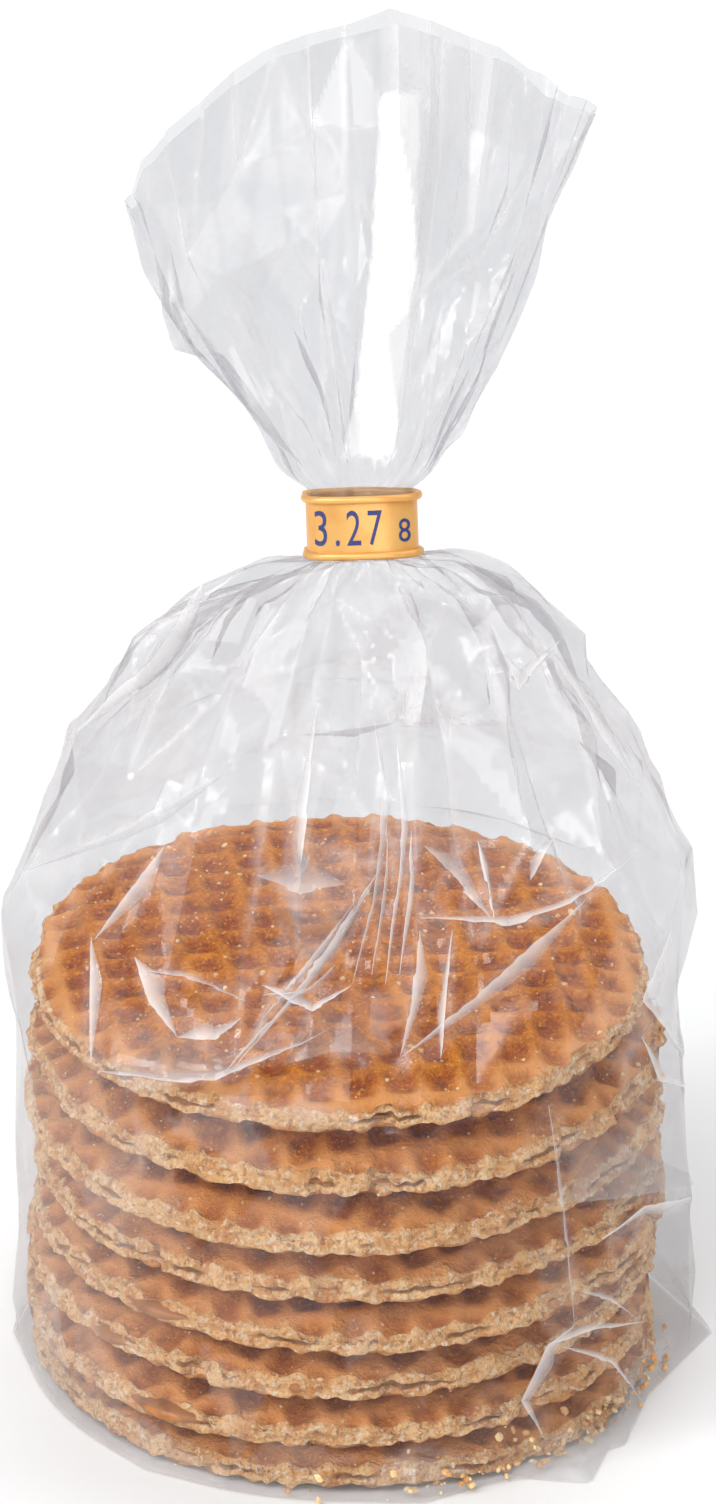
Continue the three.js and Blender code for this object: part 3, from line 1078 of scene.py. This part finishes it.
def ruffle_rings(angle, fold, share):
    """Rings of the ruffle: a row for each share of the height of its lip."""
    share = share[:, None]
    c, s = np.cos(angle), np.sin(angle)
    across, back, up = section_axes(NECK_LEAN, NECK_ROLL)
    side = np.where(c < 0, RUFFLE_LEFT[-1][0], RUFFLE_RIGHT[-1][0])
    lip = side + (RUFFLE_MID - side) * s**2
    height = lip * share
    lean = np.where(s < 0, RUFFLE_FRONT_LEAN, RUFFLE_BACK_LEAN)
    wide = np.where(c < 0, profile(RUFFLE_LEFT, height), profile(RUFFLE_RIGHT, height))
    deep = NECK_INNER[1] + height * np.tan(lean)
    out = fold * RUFFLE_PLEAT * fade(0, 0.3, share) / np.hypot(c / wide, s / deep)
    x = wide * c + out * c / wide
    y = deep * s + out * s / deep
    ring = NECK_CENTRE + across * x[..., None] + back * y[..., None]
    return ring + up * (NECK_HALF + height)[..., None]


def surface_normals(shape):
    """Outward normals of a tube of points, rows by columns."""
    around = np.roll(shape, -1, axis=1) - np.roll(shape, 1, axis=1)
    along = np.gradient(shape, axis=0)
    normals = np.cross(around, along)
    size = np.linalg.norm(normals, axis=2, keepdims=True)
    return normals / np.maximum(size, 1e-9)


def crease_lines(shape):
    """How sharply the film bends at each point: 0 where it is flat, 1 at a hard crease."""
    normals = surface_normals(shape)
    around = np.linalg.norm(np.roll(normals, -1, axis=1) - np.roll(normals, 1, axis=1), axis=2)
    along = np.linalg.norm(normals[2:] - normals[:-2], axis=2)
    along = np.concatenate([along[:1], along, along[-1:]])
    return fade(0.3, 1.1, np.maximum(around, along))


def scattered_corners(top, spacing, seed):
    """Unevenly scattered corners of facets, over the whole way round and up to top."""
    draw = np.random.RandomState(seed)
    columns = round(FILM_LAP / spacing[0])
    corners = []
    for j in range(math.ceil(top / spacing[1]) + 2):
        for i in range(columns):
            x = (i + 0.5 * (j % 2) + draw.uniform(-0.42, 0.42)) / columns * FILM_LAP
            corners.append((x, (j - 0.5 + draw.uniform(-0.42, 0.42)) * spacing[1]))
    return np.array(corners)


def folded_corners(lines, top, plain_below, spacing, seed):
    """Corners of facets on fold lines, at uneven heights.

    Below plain_below every second line has no corners of its own."""
    draw = np.random.RandomState(seed)
    corners = []
    for i, x in enumerate(lines):
        corners += [(x, -0.5), (x, top + 0.5)]
        y = spacing * draw.uniform(0.2, 1.0)
        while y < top - 0.3 * spacing:
            if y > plain_below or i % 2:
                corners.append((x + (draw.uniform(-3, 3) if y < plain_below else 0), y))
            y += spacing * draw.uniform(0.6, 1.3)
    return np.array(corners)


def fold_lines(angle):
    """Where the folds of the pleats run, as millimetres round the film."""
    columns = np.arange(len(angle)) / FILM_FINE
    return angle[columns % 2 == 1] / math.tau * FILM_LAP


def joined_corners(corners):
    """The facets between corners, over three laps of the film: their places, sources and triples."""
    spots = np.concatenate([corners + [lap * FILM_LAP, 0] for lap in (-1, 0, 1)])
    source = np.tile(np.arange(len(corners)), 3)
    near = (spots[:, 0] > -0.3 * FILM_LAP) & (spots[:, 0] < 1.3 * FILM_LAP)
    spots, source = spots[near], source[near]
    joined = geometry.delaunay_2d_cdt([Vector(spot) for spot in spots], [], [], 0, 1e-6)
    made, _, triangles, origin = joined[:4]
    return np.array([tuple(p) for p in made]), np.array([source[o[0]] for o in origin]), triangles


class Tube:
    """The round form of a stretch of film, and how far its points lie round it and up it."""

    def __init__(self, shape, angle):
        self.shape = shape
        self.normals = surface_normals(shape)
        steps = np.linalg.norm(np.diff(shape, axis=0), axis=2).mean(axis=1)
        height = np.concatenate([[0], np.cumsum(steps)])
        self.along = np.broadcast_to(height[:, None], shape.shape[:2])
        self.lap = np.append(angle, math.tau) / math.tau * FILM_LAP
        self.across = np.broadcast_to(self.lap[:-1], self.along.shape)

    def facets(self, corners):
        """For each point, the three corners of the flat facet that it lies in, and their shares."""
        made, source, triangles = joined_corners(corners)
        x, y = self.across.ravel(), self.along.ravel()
        index = np.zeros((len(x), 3), dtype=int)
        share = np.zeros((len(x), 3))
        for corner in triangles:
            a, b, c = made[list(corner)]
            low, high = np.minimum(np.minimum(a, b), c), np.maximum(np.maximum(a, b), c)
            near = np.nonzero((x >= low[0]) & (x <= high[0]) & (y >= low[1]) & (y <= high[1]))[0]
            area = (b[0] - a[0]) * (c[1] - a[1]) - (c[0] - a[0]) * (b[1] - a[1])
            if not len(near) or abs(area) < 1e-9:
                continue
            px, py = x[near] - a[0], y[near] - a[1]
            second = (px * (c[1] - a[1]) - py * (c[0] - a[0])) / area
            third = (py * (b[0] - a[0]) - px * (b[1] - a[1])) / area
            shares = np.stack([1 - second - third, second, third], axis=1)
            hit = shares.min(axis=1) >= -1e-6
            share[near[hit]] = shares[hit]
            index[near[hit]] = source[list(corner)]
        return index, share

    def flattened(self, corners, out):
        """The film as flat facets between corners that stand out of its round form by out."""
        column = np.interp(corners[:, 0] % FILM_LAP, self.lap, np.arange(len(self.lap)))
        row = np.interp(corners[:, 1], self.along[:, 0], np.arange(len(self.along)))
        place = sample(self.shape, column, row) + sample(self.normals, column, row) * out[:, None]
        index, share = self.facets(corners)
        return (place[index] * share[..., None]).sum(axis=1).reshape(self.shape.shape)

    def heights(self, spacing, seed):
        """Random heights from -1 to 1 at scattered corners, joined by flat facets."""
        corners = scattered_corners(self.along.max(), spacing, seed)
        level = np.random.RandomState(seed + 100).uniform(-1, 1, len(corners))
        index, share = self.facets(corners)
        return (level[index] * share).sum(axis=1).reshape(self.along.shape)

    def tones(self, spacing, seed):
        """A random number from 0 to 1 for each facet between scattered corners."""
        index = self.facets(scattered_corners(self.along.max(), spacing, seed))[0]
        key = np.sort(index, axis=1) @ np.array([1.0, 7.3, 53.1])
        return uneven(key, 0.37).reshape(self.along.shape)


def sample(field, column, row):
    """Values of a tube's field between its columns, which close on themselves, and its rows."""
    columns = field.shape[1]
    c, r = np.floor(column).astype(int), np.floor(row).astype(int)
    fc, fr = (column - c)[:, None], (row - r)[:, None]
    c, c2 = c % columns, (c + 1) % columns
    r2 = np.minimum(r + 1, len(field) - 1)
    low = field[r, c] * (1 - fc) + field[r, c2] * fc
    return low * (1 - fr) + (field[r2, c] * (1 - fc) + field[r2, c2] * fc) * fr


def fold_field(pixels):
    """How far the named folds stand out at pixels of the photograph, and how much they shine."""
    field = np.zeros(pixels.shape[:-1])
    shine = np.zeros(pixels.shape[:-1])
    for fold in FOLDS:
        run = np.array(fold.run, dtype=float)
        before = path_lengths(run)
        best = np.full(field.shape, np.inf)
        lift = np.zeros(field.shape)
        lit = np.zeros(field.shape)
        for k, (start, end) in enumerate(zip(run[:-1], run[1:])):
            length = np.linalg.norm(end - start)
            line = (end - start) / length
            offset = pixels - start
            reach = np.clip(offset @ line, 0, length)
            gap = np.linalg.norm(offset - reach[..., None] * line, axis=-1) / PIXELS_PER_MM
            left = offset[..., 0] * line[1] - offset[..., 1] * line[0] > 0
            share = (before[k] + reach) / before[-1]
            taper = np.minimum(1, np.minimum(share, 1 - share) / 0.28 + 0.05)
            slope = taper * np.clip(1 - gap / np.where(left, fold.lit, fold.far), 0, 1)
            # The lit side of a fold and a thin line along its crease get a painted highlight.
            glow = 0.2 * (left & (slope > 0.04)) + 0.3 * taper * np.clip(1 - gap / 0.7, 0, 1)
            nearer = gap < best
            lift = np.where(nearer, fold.out * slope, lift)
            lit = np.where(nearer, glow, lit)
            best = np.where(nearer, gap, best)
        field += lift
        shine = np.maximum(shine, lit)
    return field, shine


def finish_film(name, shape, solid, haze_and_sheen):
    """Turns rows of points into a closed thin shell of film."""
    rows, columns = shape.shape[:2]
    piece, column, row = flat_sheet(name, columns, rows - 1)
    place_points(piece, shape[row, column % columns] * MM)
    paint_points(piece, "haze_and_sheen", haze_and_sheen[row, column % columns])
    finish_shell(piece, name, solid)


def finish_shell(piece, name, solid):
    """Gives a sheet its thin wall and its film finish."""
    sizes = bpy.context.scene.pack_film
    known = bpy.data.materials
    piece.name = name
    close_seams(piece)
    wall = piece.modifiers.new("wall", "SOLIDIFY")
    wall.thickness = sizes.wall
    wall.offset = -1
    wall.material_offset = 1  # the inner face takes the slot after the outer face's
    piece.data.materials.append(known.get("clear_film") or film_finish())
    inside = known.get("film_inside") or clear_finish("film_inside", tuple(sizes.tint))
    piece.data.materials.append(inside)

    # Both faces of the foot, which lies on the floor, are clearer than the rest of the film, which is
    # painted light: the shade under the bag shows lighter through them.
    foot = [face for face in piece.data.polygons if face.center.z < FOOT_TOP * MM]
    if foot:
        pale = clear_finish("film_foot_shade_lift", (0.98, 0.98, 0.98, 1.0))
        piece.data.materials.append(pale)
        piece.data.materials.append(pale)
    for face in foot:
        face.material_index = 2
    alone(piece)
    bpy.ops.object.modifier_apply(modifier=wall.name)
    bpy.ops.object.shade_smooth_by_angle(angle=math.radians(6))
    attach(piece, BODY)
    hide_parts(solid)


class PACK_OT_film_body(bpy.types.Operator):
    """Wrap the film of the bag round the stack and gather it to the neck"""

    bl_idname = "pack.film_body"
    bl_label = "Bag film"

    def execute(self, context):
        crumple = context.scene.pack_film.crumple / MM
        angle, fold = pleat_columns()
        foot = wall_rings(angle, np.array([WALL_START])) * np.linspace(0, 0.97, 5)[:, None, None]
        foot[..., 2] = FILM_FLOOR
        wall = wall_rings(angle, np.linspace(WALL_START, STACK_TOP, 45)[:-1])
        u = 1 - (1 - np.linspace(0, 1, 83)) ** 1.4
        shoulder = shoulder_rings(angle, fold, u[:-1])
        neck = neck_rings(angle, np.linspace(-NECK_HALF, 0, 6))
        tube = Tube(np.concatenate([foot, wall, shoulder, neck]), angle)
        start, top, end = tube.along[[len(foot), len(foot) + len(wall), -1], 0]
        to_band = end - tube.along
        free = fade(5, 14, to_band) * fade(start, start + 5, tube.along)

        # Facets: small on the wall and near the neck, and wide on the shoulders.
        creases = np.radians([crease[0] for crease in CREASES]) / math.tau * FILM_LAP
        lines = np.sort(np.concatenate([fold_lines(angle), creases]))
        corners = folded_corners(lines, end, plain_below=top - 8, spacing=19, seed=31)
        y = corners[:, 1]
        amount = crumple * (0.35 + 0.9 * fade(top - 5, top + 12, y)) * fade(3, 25, end - y)
        out = np.random.RandomState(81).uniform(-1, 1, len(corners)) * amount
        shape = tube.shape + (tube.flattened(corners, out) - tube.shape) * free[..., None]

        # Small facets, the pleats that gather to the neck, and the named folds.
        small = tube.heights((11, 12), 12)
        pleats = tube.heights((FILM_LAP / 46, 34), 13) * 1.5
        pleats = pleats + tube.heights((FILM_LAP / 90, 14), 14) * 0.8
        gathered = fade(2, 8, to_band) * (1 - fade(40, 92, to_band))
        facing = fade(0.05, 0.35, tube.normals @ -camera_view()[0]) * free
        named, shine = fold_field(to_pixels(shape))
        lift = crumple * 0.12 * small * free + pleats * gathered + named * facing
        shape = shape + tube.normals * lift[..., None]

        # The film keeps clear of the rims of the wafels.
        z = tube.shape[..., 2]
        r = np.hypot(shape[..., 0], shape[..., 1])
        rim = BAG_RADIUS - 0.2 + 0.35 * small
        low = (z < STACK_TOP + 1.5) & (z > FOOT_TOP)
        shape[..., :2] *= np.where(low, np.maximum(1, rim / np.maximum(r, 1e-6)), 1)[..., None]
        shape[..., 2] = np.maximum(shape[..., 2], FILM_FLOOR)

        # It is milky in some facets, mostly on the shoulders, and at creases: a little of this is the
        # film's own haze and whitening, most of it is painted reflection and painted highlight. The
        # whiter left side and far right side are painted reflections of the lights, the lit sides of the
        # named folds carry a painted highlight, and the whiter foot is painted light that lifts the
        # shade under the bag.
        sheen_facets = tube.tones((17, 24), 15) ** 2 * 0.09 + tube.tones((9, 30), 16) ** 3 * 0.1
        haze_and_sheen = sheen_facets * (0.1 + 0.9 * fade(top + 14, top + 36, tube.along))
        haze_and_sheen = haze_and_sheen + tube.tones((13, 17), 17) ** 6 * 0.1
        haze_and_sheen = haze_and_sheen + crease_lines(shape) * 0.16 + shine * facing * 0.25
        side = fade(30, 48, shape[..., 0] * 0.9 - shape[..., 1] * 0.2) * (1 - fade(85, 105, z))
        left = (1 - fade(-44, -20, shape[..., 0])) * (1 - fade(60, 80, z))
        haze_and_sheen = haze_and_sheen + side * 0.02 + left * 0.1 + (1 - fade(1, 7, z)) * 0.05
        finish_film("film_body", shape, "bag", haze_and_sheen)
        return {"FINISHED"}


def fold_strip(fold):
    """Pixels of a fold's sliver: rows from its crease outwards, tapered to its ends."""
    run = np.array(fold.run, dtype=float)
    lengths = path_lengths(run)
    share = np.linspace(0, 1, SLIVER_STEPS + 1)
    middle = np.stack([np.interp(share * lengths[-1], lengths, run[:, i]) for i in range(2)], axis=1)
    way = np.gradient(middle, axis=0)
    way /= np.linalg.norm(way, axis=1, keepdims=True)
    side = np.stack([way[:, 1], -way[:, 0]], axis=1)
    width = fold.lit * PIXELS_PER_MM * fold.wide * np.interp(share, (0, fold.peak, 1), (0, 1, 0))
    rows = np.linspace(0, 1, SLIVER_ROWS + 1)[:, None]
    return middle[:, None] + side[:, None] * width[:, None, None] * rows


class PACK_OT_film_folds(bpy.types.Operator):
    """Lay the folded slivers of film on the front of the bag"""

    bl_idname = "pack.film_folds"
    bl_label = "Film folds"

    def execute(self, context):
        tree = surface_tree(bpy.data.objects["film_body"])
        pieces = []
        for number, fold in enumerate(FOLDS):
            eye, ways = to_rays(fold_strip(fold))
            place = np.full(ways.shape, np.nan)
            for i, j in np.ndindex(ways.shape[:2]):
                hit, normal, _, _ = tree.ray_cast(Vector(eye * MM), Vector(ways[i, j]).normalized())
                if hit is not None:
                    arch = (1 - j / SLIVER_ROWS) * math.sin(math.pi * i / SLIVER_STEPS)
                    place[i, j] = np.array(hit) / MM + np.array(normal) * (0.2 + 0.6 * arch)
            # A fold ends where the camera sees past the film.
            place = place[np.isfinite(place).all(axis=(1, 2))]
            piece, column, row = flat_sheet(f"fold_{number}", len(place) - 1, SLIVER_ROWS)
            place_points(piece, place[column, row] * MM)
            # A sliver's milk is a painted highlight, strongest at its crease and fading outwards.
            bright = fold.bright or 0.34 + 0.3 * uneven(number, 3)
            paint_points(piece, "haze_and_sheen", bright * (1 - 0.72 * row / SLIVER_ROWS))
            pieces.append(piece)
        alone(pieces[0])
        for piece in pieces:
            piece.select_set(True)
        bpy.ops.object.join()
        finish_shell(pieces[0], "film_folds", "bag")
        return {"FINISHED"}


def seam_strip(shape):
    """1 on the white strip of the ruffle's seam, and 1 on the clearer strip above it."""
    heights, left, right = np.array(SEAM_EDGES, dtype=float).T
    x, y = np.moveaxis(to_pixels(shape), -1, 0)
    inside = fade(-1.5, 1.5, x - np.interp(y, heights, left))
    inside = inside * fade(-1.5, 1.5, np.interp(y, heights, right) - x)
    strip = inside * fade(-2, 2, y - heights[0]) * fade(-4, 4, heights[-1] - y)
    return strip, inside * (y < heights[0])


class PACK_OT_film_ruffle(bpy.types.Operator):
    """Spread the loose film above the band"""

    bl_idname = "pack.film_ruffle"
    bl_label = "Ruffle film"

    def execute(self, context):
        crumple = context.scene.pack_film.crumple / MM
        angle, fold = pleat_columns()
        front = np.sin(angle) < 0
        neck = neck_rings(angle, np.linspace(0, NECK_HALF, 7)[:-1])
        spread = ruffle_rings(angle, fold, np.linspace(0, 1, 96) ** 0.85)
        shape = np.concatenate([neck, spread])

        # The lip is drawn out to its outline in the photograph.
        hub = NECK_CENTRE + section_axes(NECK_LEAN, NECK_ROLL)[2] * NECK_HALF
        lip = to_pixels(shape[-1]) - to_pixels(hub)
        turn = np.degrees(np.arctan2(lip[:, 0], -lip[:, 1]))
        target = profile(LIP_OUTLINE, turn) * np.where(front, 0.975, 1)
        stretch = np.clip(target / np.linalg.norm(lip, axis=1), 0.9, 1.12)
        share = fade(0.1, 1, np.arange(len(shape)) / (len(shape) - 1))[:, None]
        tube = Tube(hub + (shape - hub) * (1 + (stretch - 1) * share)[..., None], angle)
        along, end = tube.along, tube.along[-1, 0]

        corners = folded_corners(fold_lines(angle), end, plain_below=0, spacing=27, seed=41)
        corners = np.concatenate([corners, FLAP_CORNERS])
        amount = crumple * 0.75 * fade(8, 30, corners[:, 1])
        out = np.random.RandomState(91).uniform(-1, 1, len(corners)) * amount
        flat = tube.flattened(corners, out)
        shape = tube.shape + (flat - tube.shape) * fade(4, 14, along)[..., None]
        pleats = tube.heights((FILM_LAP / 40, 60), 23) * 1.5
        pleats = pleats + tube.heights((FILM_LAP / 84, 44), 24) * 0.6
        lift = crumple * 0.2 * tube.heights((15, 19), 22) * fade(10, 30, along)
        lift = lift + pleats * fade(5, 12, along) * (1 - 0.35 * fade(30, end, along))
        shape = shape + tube.normals * lift[..., None]

        strip, upper = seam_strip(shape)
        # The ruffle's milky facets and creases are partly the film's own haze and whitening and partly
        # painted reflection and painted highlight. The seam's white strip is its own colour.
        haze_and_sheen = 0.02 + tube.tones((14, 60), 25) ** 2 * 0.09 + tube.tones((6, 70), 26) ** 4 * 0.12
        haze_and_sheen = haze_and_sheen + crease_lines(shape) * 0.14 + (strip * 0.64 + upper * 0.12) * front
        finish_film("film_ruffle", shape, "ruffle", np.clip(haze_and_sheen, 0, 0.9))
        return {"FINISHED"}


# Band


def band_loop(angle):
    """The inner wall of the band at an angle, and its outward direction, across and back."""
    c, s = np.cos(angle), np.sin(angle)
    x = BAND_INNER[0] * np.sign(c) * np.abs(c) ** BAND_FLATNESS
    y = BAND_INNER[1] * np.sign(s) * np.abs(s) ** BAND_FLATNESS
    out = np.stack([x / BAND_INNER[0] ** 2, y / BAND_INNER[1] ** 2], axis=-1)
    out /= np.linalg.norm(out, axis=-1, keepdims=True)
    return x, y, out


def band_points(angle, reach, height):
    """Points on the band: reach outwards from its inner wall and height along the neck."""
    x, y, out = band_loop(angle)
    across, back, up = section_axes(NECK_LEAN, NECK_ROLL)
    x = x + out[..., 0] * reach
    y = y + out[..., 1] * reach
    return NECK_CENTRE + x[..., None] * across + y[..., None] * back + height[..., None] * up


class PACK_OT_band(bpy.types.Operator):
    """Bend the gold strip round the neck"""

    bl_idname = "pack.band"
    bl_label = "Clip band"

    def execute(self, context):
        half = context.scene.pack_band.height / MM / 2
        turns = math.pi * (1 - 1.62 * np.linspace(0, 1, 17))
        bead = BAND_BEAD * np.stack([1 + np.cos(turns), np.sin(turns) - 1], axis=1) + [0, half]
        steps = np.arange(1, 9) / 9
        height = (half - 2 * BAND_BEAD) * (1 - 2 * steps)
        middle = np.stack([np.full(8, BAND_SHEET), height], axis=1)
        section = np.concatenate([bead, middle, (bead * [1, -1])[::-1]])
        columns, rows = 300, len(section)
        piece, column, row = flat_sheet("band", columns, rows)
        turned = column / columns * math.radians(360 + BAND_LAP)
        lap = (2 * BAND_BEAD + 0.3) * fade(math.radians(320), math.radians(356), turned)
        reach, height = section[row % rows].T
        angle = math.radians(BAND_START) + turned
        place_points(piece, band_points(angle, reach + lap, height) * MM)
        close_seams(piece)
        bpy.ops.object.mode_set(mode="EDIT")
        bpy.ops.mesh.select_all(action="DESELECT")
        bpy.ops.mesh.select_non_manifold()
        bpy.ops.mesh.fill()
        bpy.ops.mesh.select_all(action="SELECT")
        bpy.ops.mesh.normals_make_consistent(inside=False)
        bpy.ops.object.mode_set(mode="OBJECT")
        bpy.ops.object.shade_smooth_by_angle(angle=math.radians(40))
        piece.data.materials.append(band_finish())
        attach(piece, BODY)
        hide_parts("clip_band")
        return {"FINISHED"}


class PACK_OT_figures(bpy.types.Operator):
    """Stamp plain figures on the front of the band"""

    bl_idname = "pack.figures"
    bl_label = "Figures"

    def execute(self, context):
        bpy.ops.object.select_all(action="DESELECT")
        bpy.ops.object.text_add()
        figures = context.active_object
        figures.name = "band_figures"
        figures.data.body = context.scene.pack_band.figures
        figures.data.size = 4.9
        figures.data.space_character = 1.28
        figures.data.extrude = 0.03
        figures.data.align_x = "CENTER"
        figures.data.align_y = "CENTER"
        alone(figures)
        bpy.ops.object.convert(target="MESH")
        points = points_of(figures)
        points[:, 1] *= 1.6
        # The last figure stands apart, and is smaller.
        order = np.sort(points[:, 0])
        last = points[:, 0] > order[np.argmax(np.diff(order))] + 0.01
        corner = points[last].min(axis=0)
        points[last] = corner + (points[last] - corner) * [0.8, 0.66, 1] + [-0.5, 0.3, 0]
        points[:, :2] -= (points[:, :2].max(axis=0) + points[:, :2].min(axis=0)) / 2
        x, y, z = points.T
        c = np.sign(x) * np.clip(np.abs(x) / BAND_INNER[0], 0, 0.995) ** (1 / BAND_FLATNESS)
        place_points(figures, band_points(-np.arccos(c), 0.46 + z, y) * MM)
        close_seams(figures)
        figures.data.materials.append(ink_finish())
        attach(figures, BODY)
        return {"FINISHED"}


class PACK_PT_panel(bpy.types.Panel):
    """Lists the steps that make the pack"""

    bl_label = "Bag of stroopwafels"
    bl_idname = "PACK_PT_panel"
    bl_space_type = "VIEW_3D"
    bl_region_type = "UI"
    bl_category = "Wafels"

    def draw(self, context):
        for name in STEPS:
            self.layout.operator(name)
        for group in SETTINGS:
            box = self.layout.box()
            for key in type(getattr(context.scene, group)).__annotations__:
                box.prop(getattr(context.scene, group), key)


SETTINGS = {
    "pack_stage": PackStage,
    "pack_wafels": PackWafels,
    "pack_film": PackFilm,
    "pack_band": PackBand,
}
OPERATORS = (
    PACK_OT_stage,
    PACK_OT_wafels,
    PACK_OT_syrup,
    PACK_OT_crumbs,
    PACK_OT_film_body,
    PACK_OT_film_folds,
    PACK_OT_film_ruffle,
    PACK_OT_band,
    PACK_OT_figures,
)
STEPS = tuple(operator.bl_idname for operator in OPERATORS)


def register():
    for group, kind in SETTINGS.items():
        bpy.utils.register_class(kind)
        setattr(bpy.types.Scene, group, bpy.props.PointerProperty(type=kind))
    for kind in (*OPERATORS, PACK_PT_panel):
        bpy.utils.register_class(kind)


def unregister():
    for kind in (PACK_PT_panel, *reversed(OPERATORS)):
        bpy.utils.unregister_class(kind)
    for group, kind in SETTINGS.items():
        delattr(bpy.types.Scene, group)
        bpy.utils.unregister_class(kind)


def main():
    register()
    for name in STEPS:
        family, step = name.split(".")
        getattr(getattr(bpy.ops, family), step)()


if __name__ == "__main__":
    main()
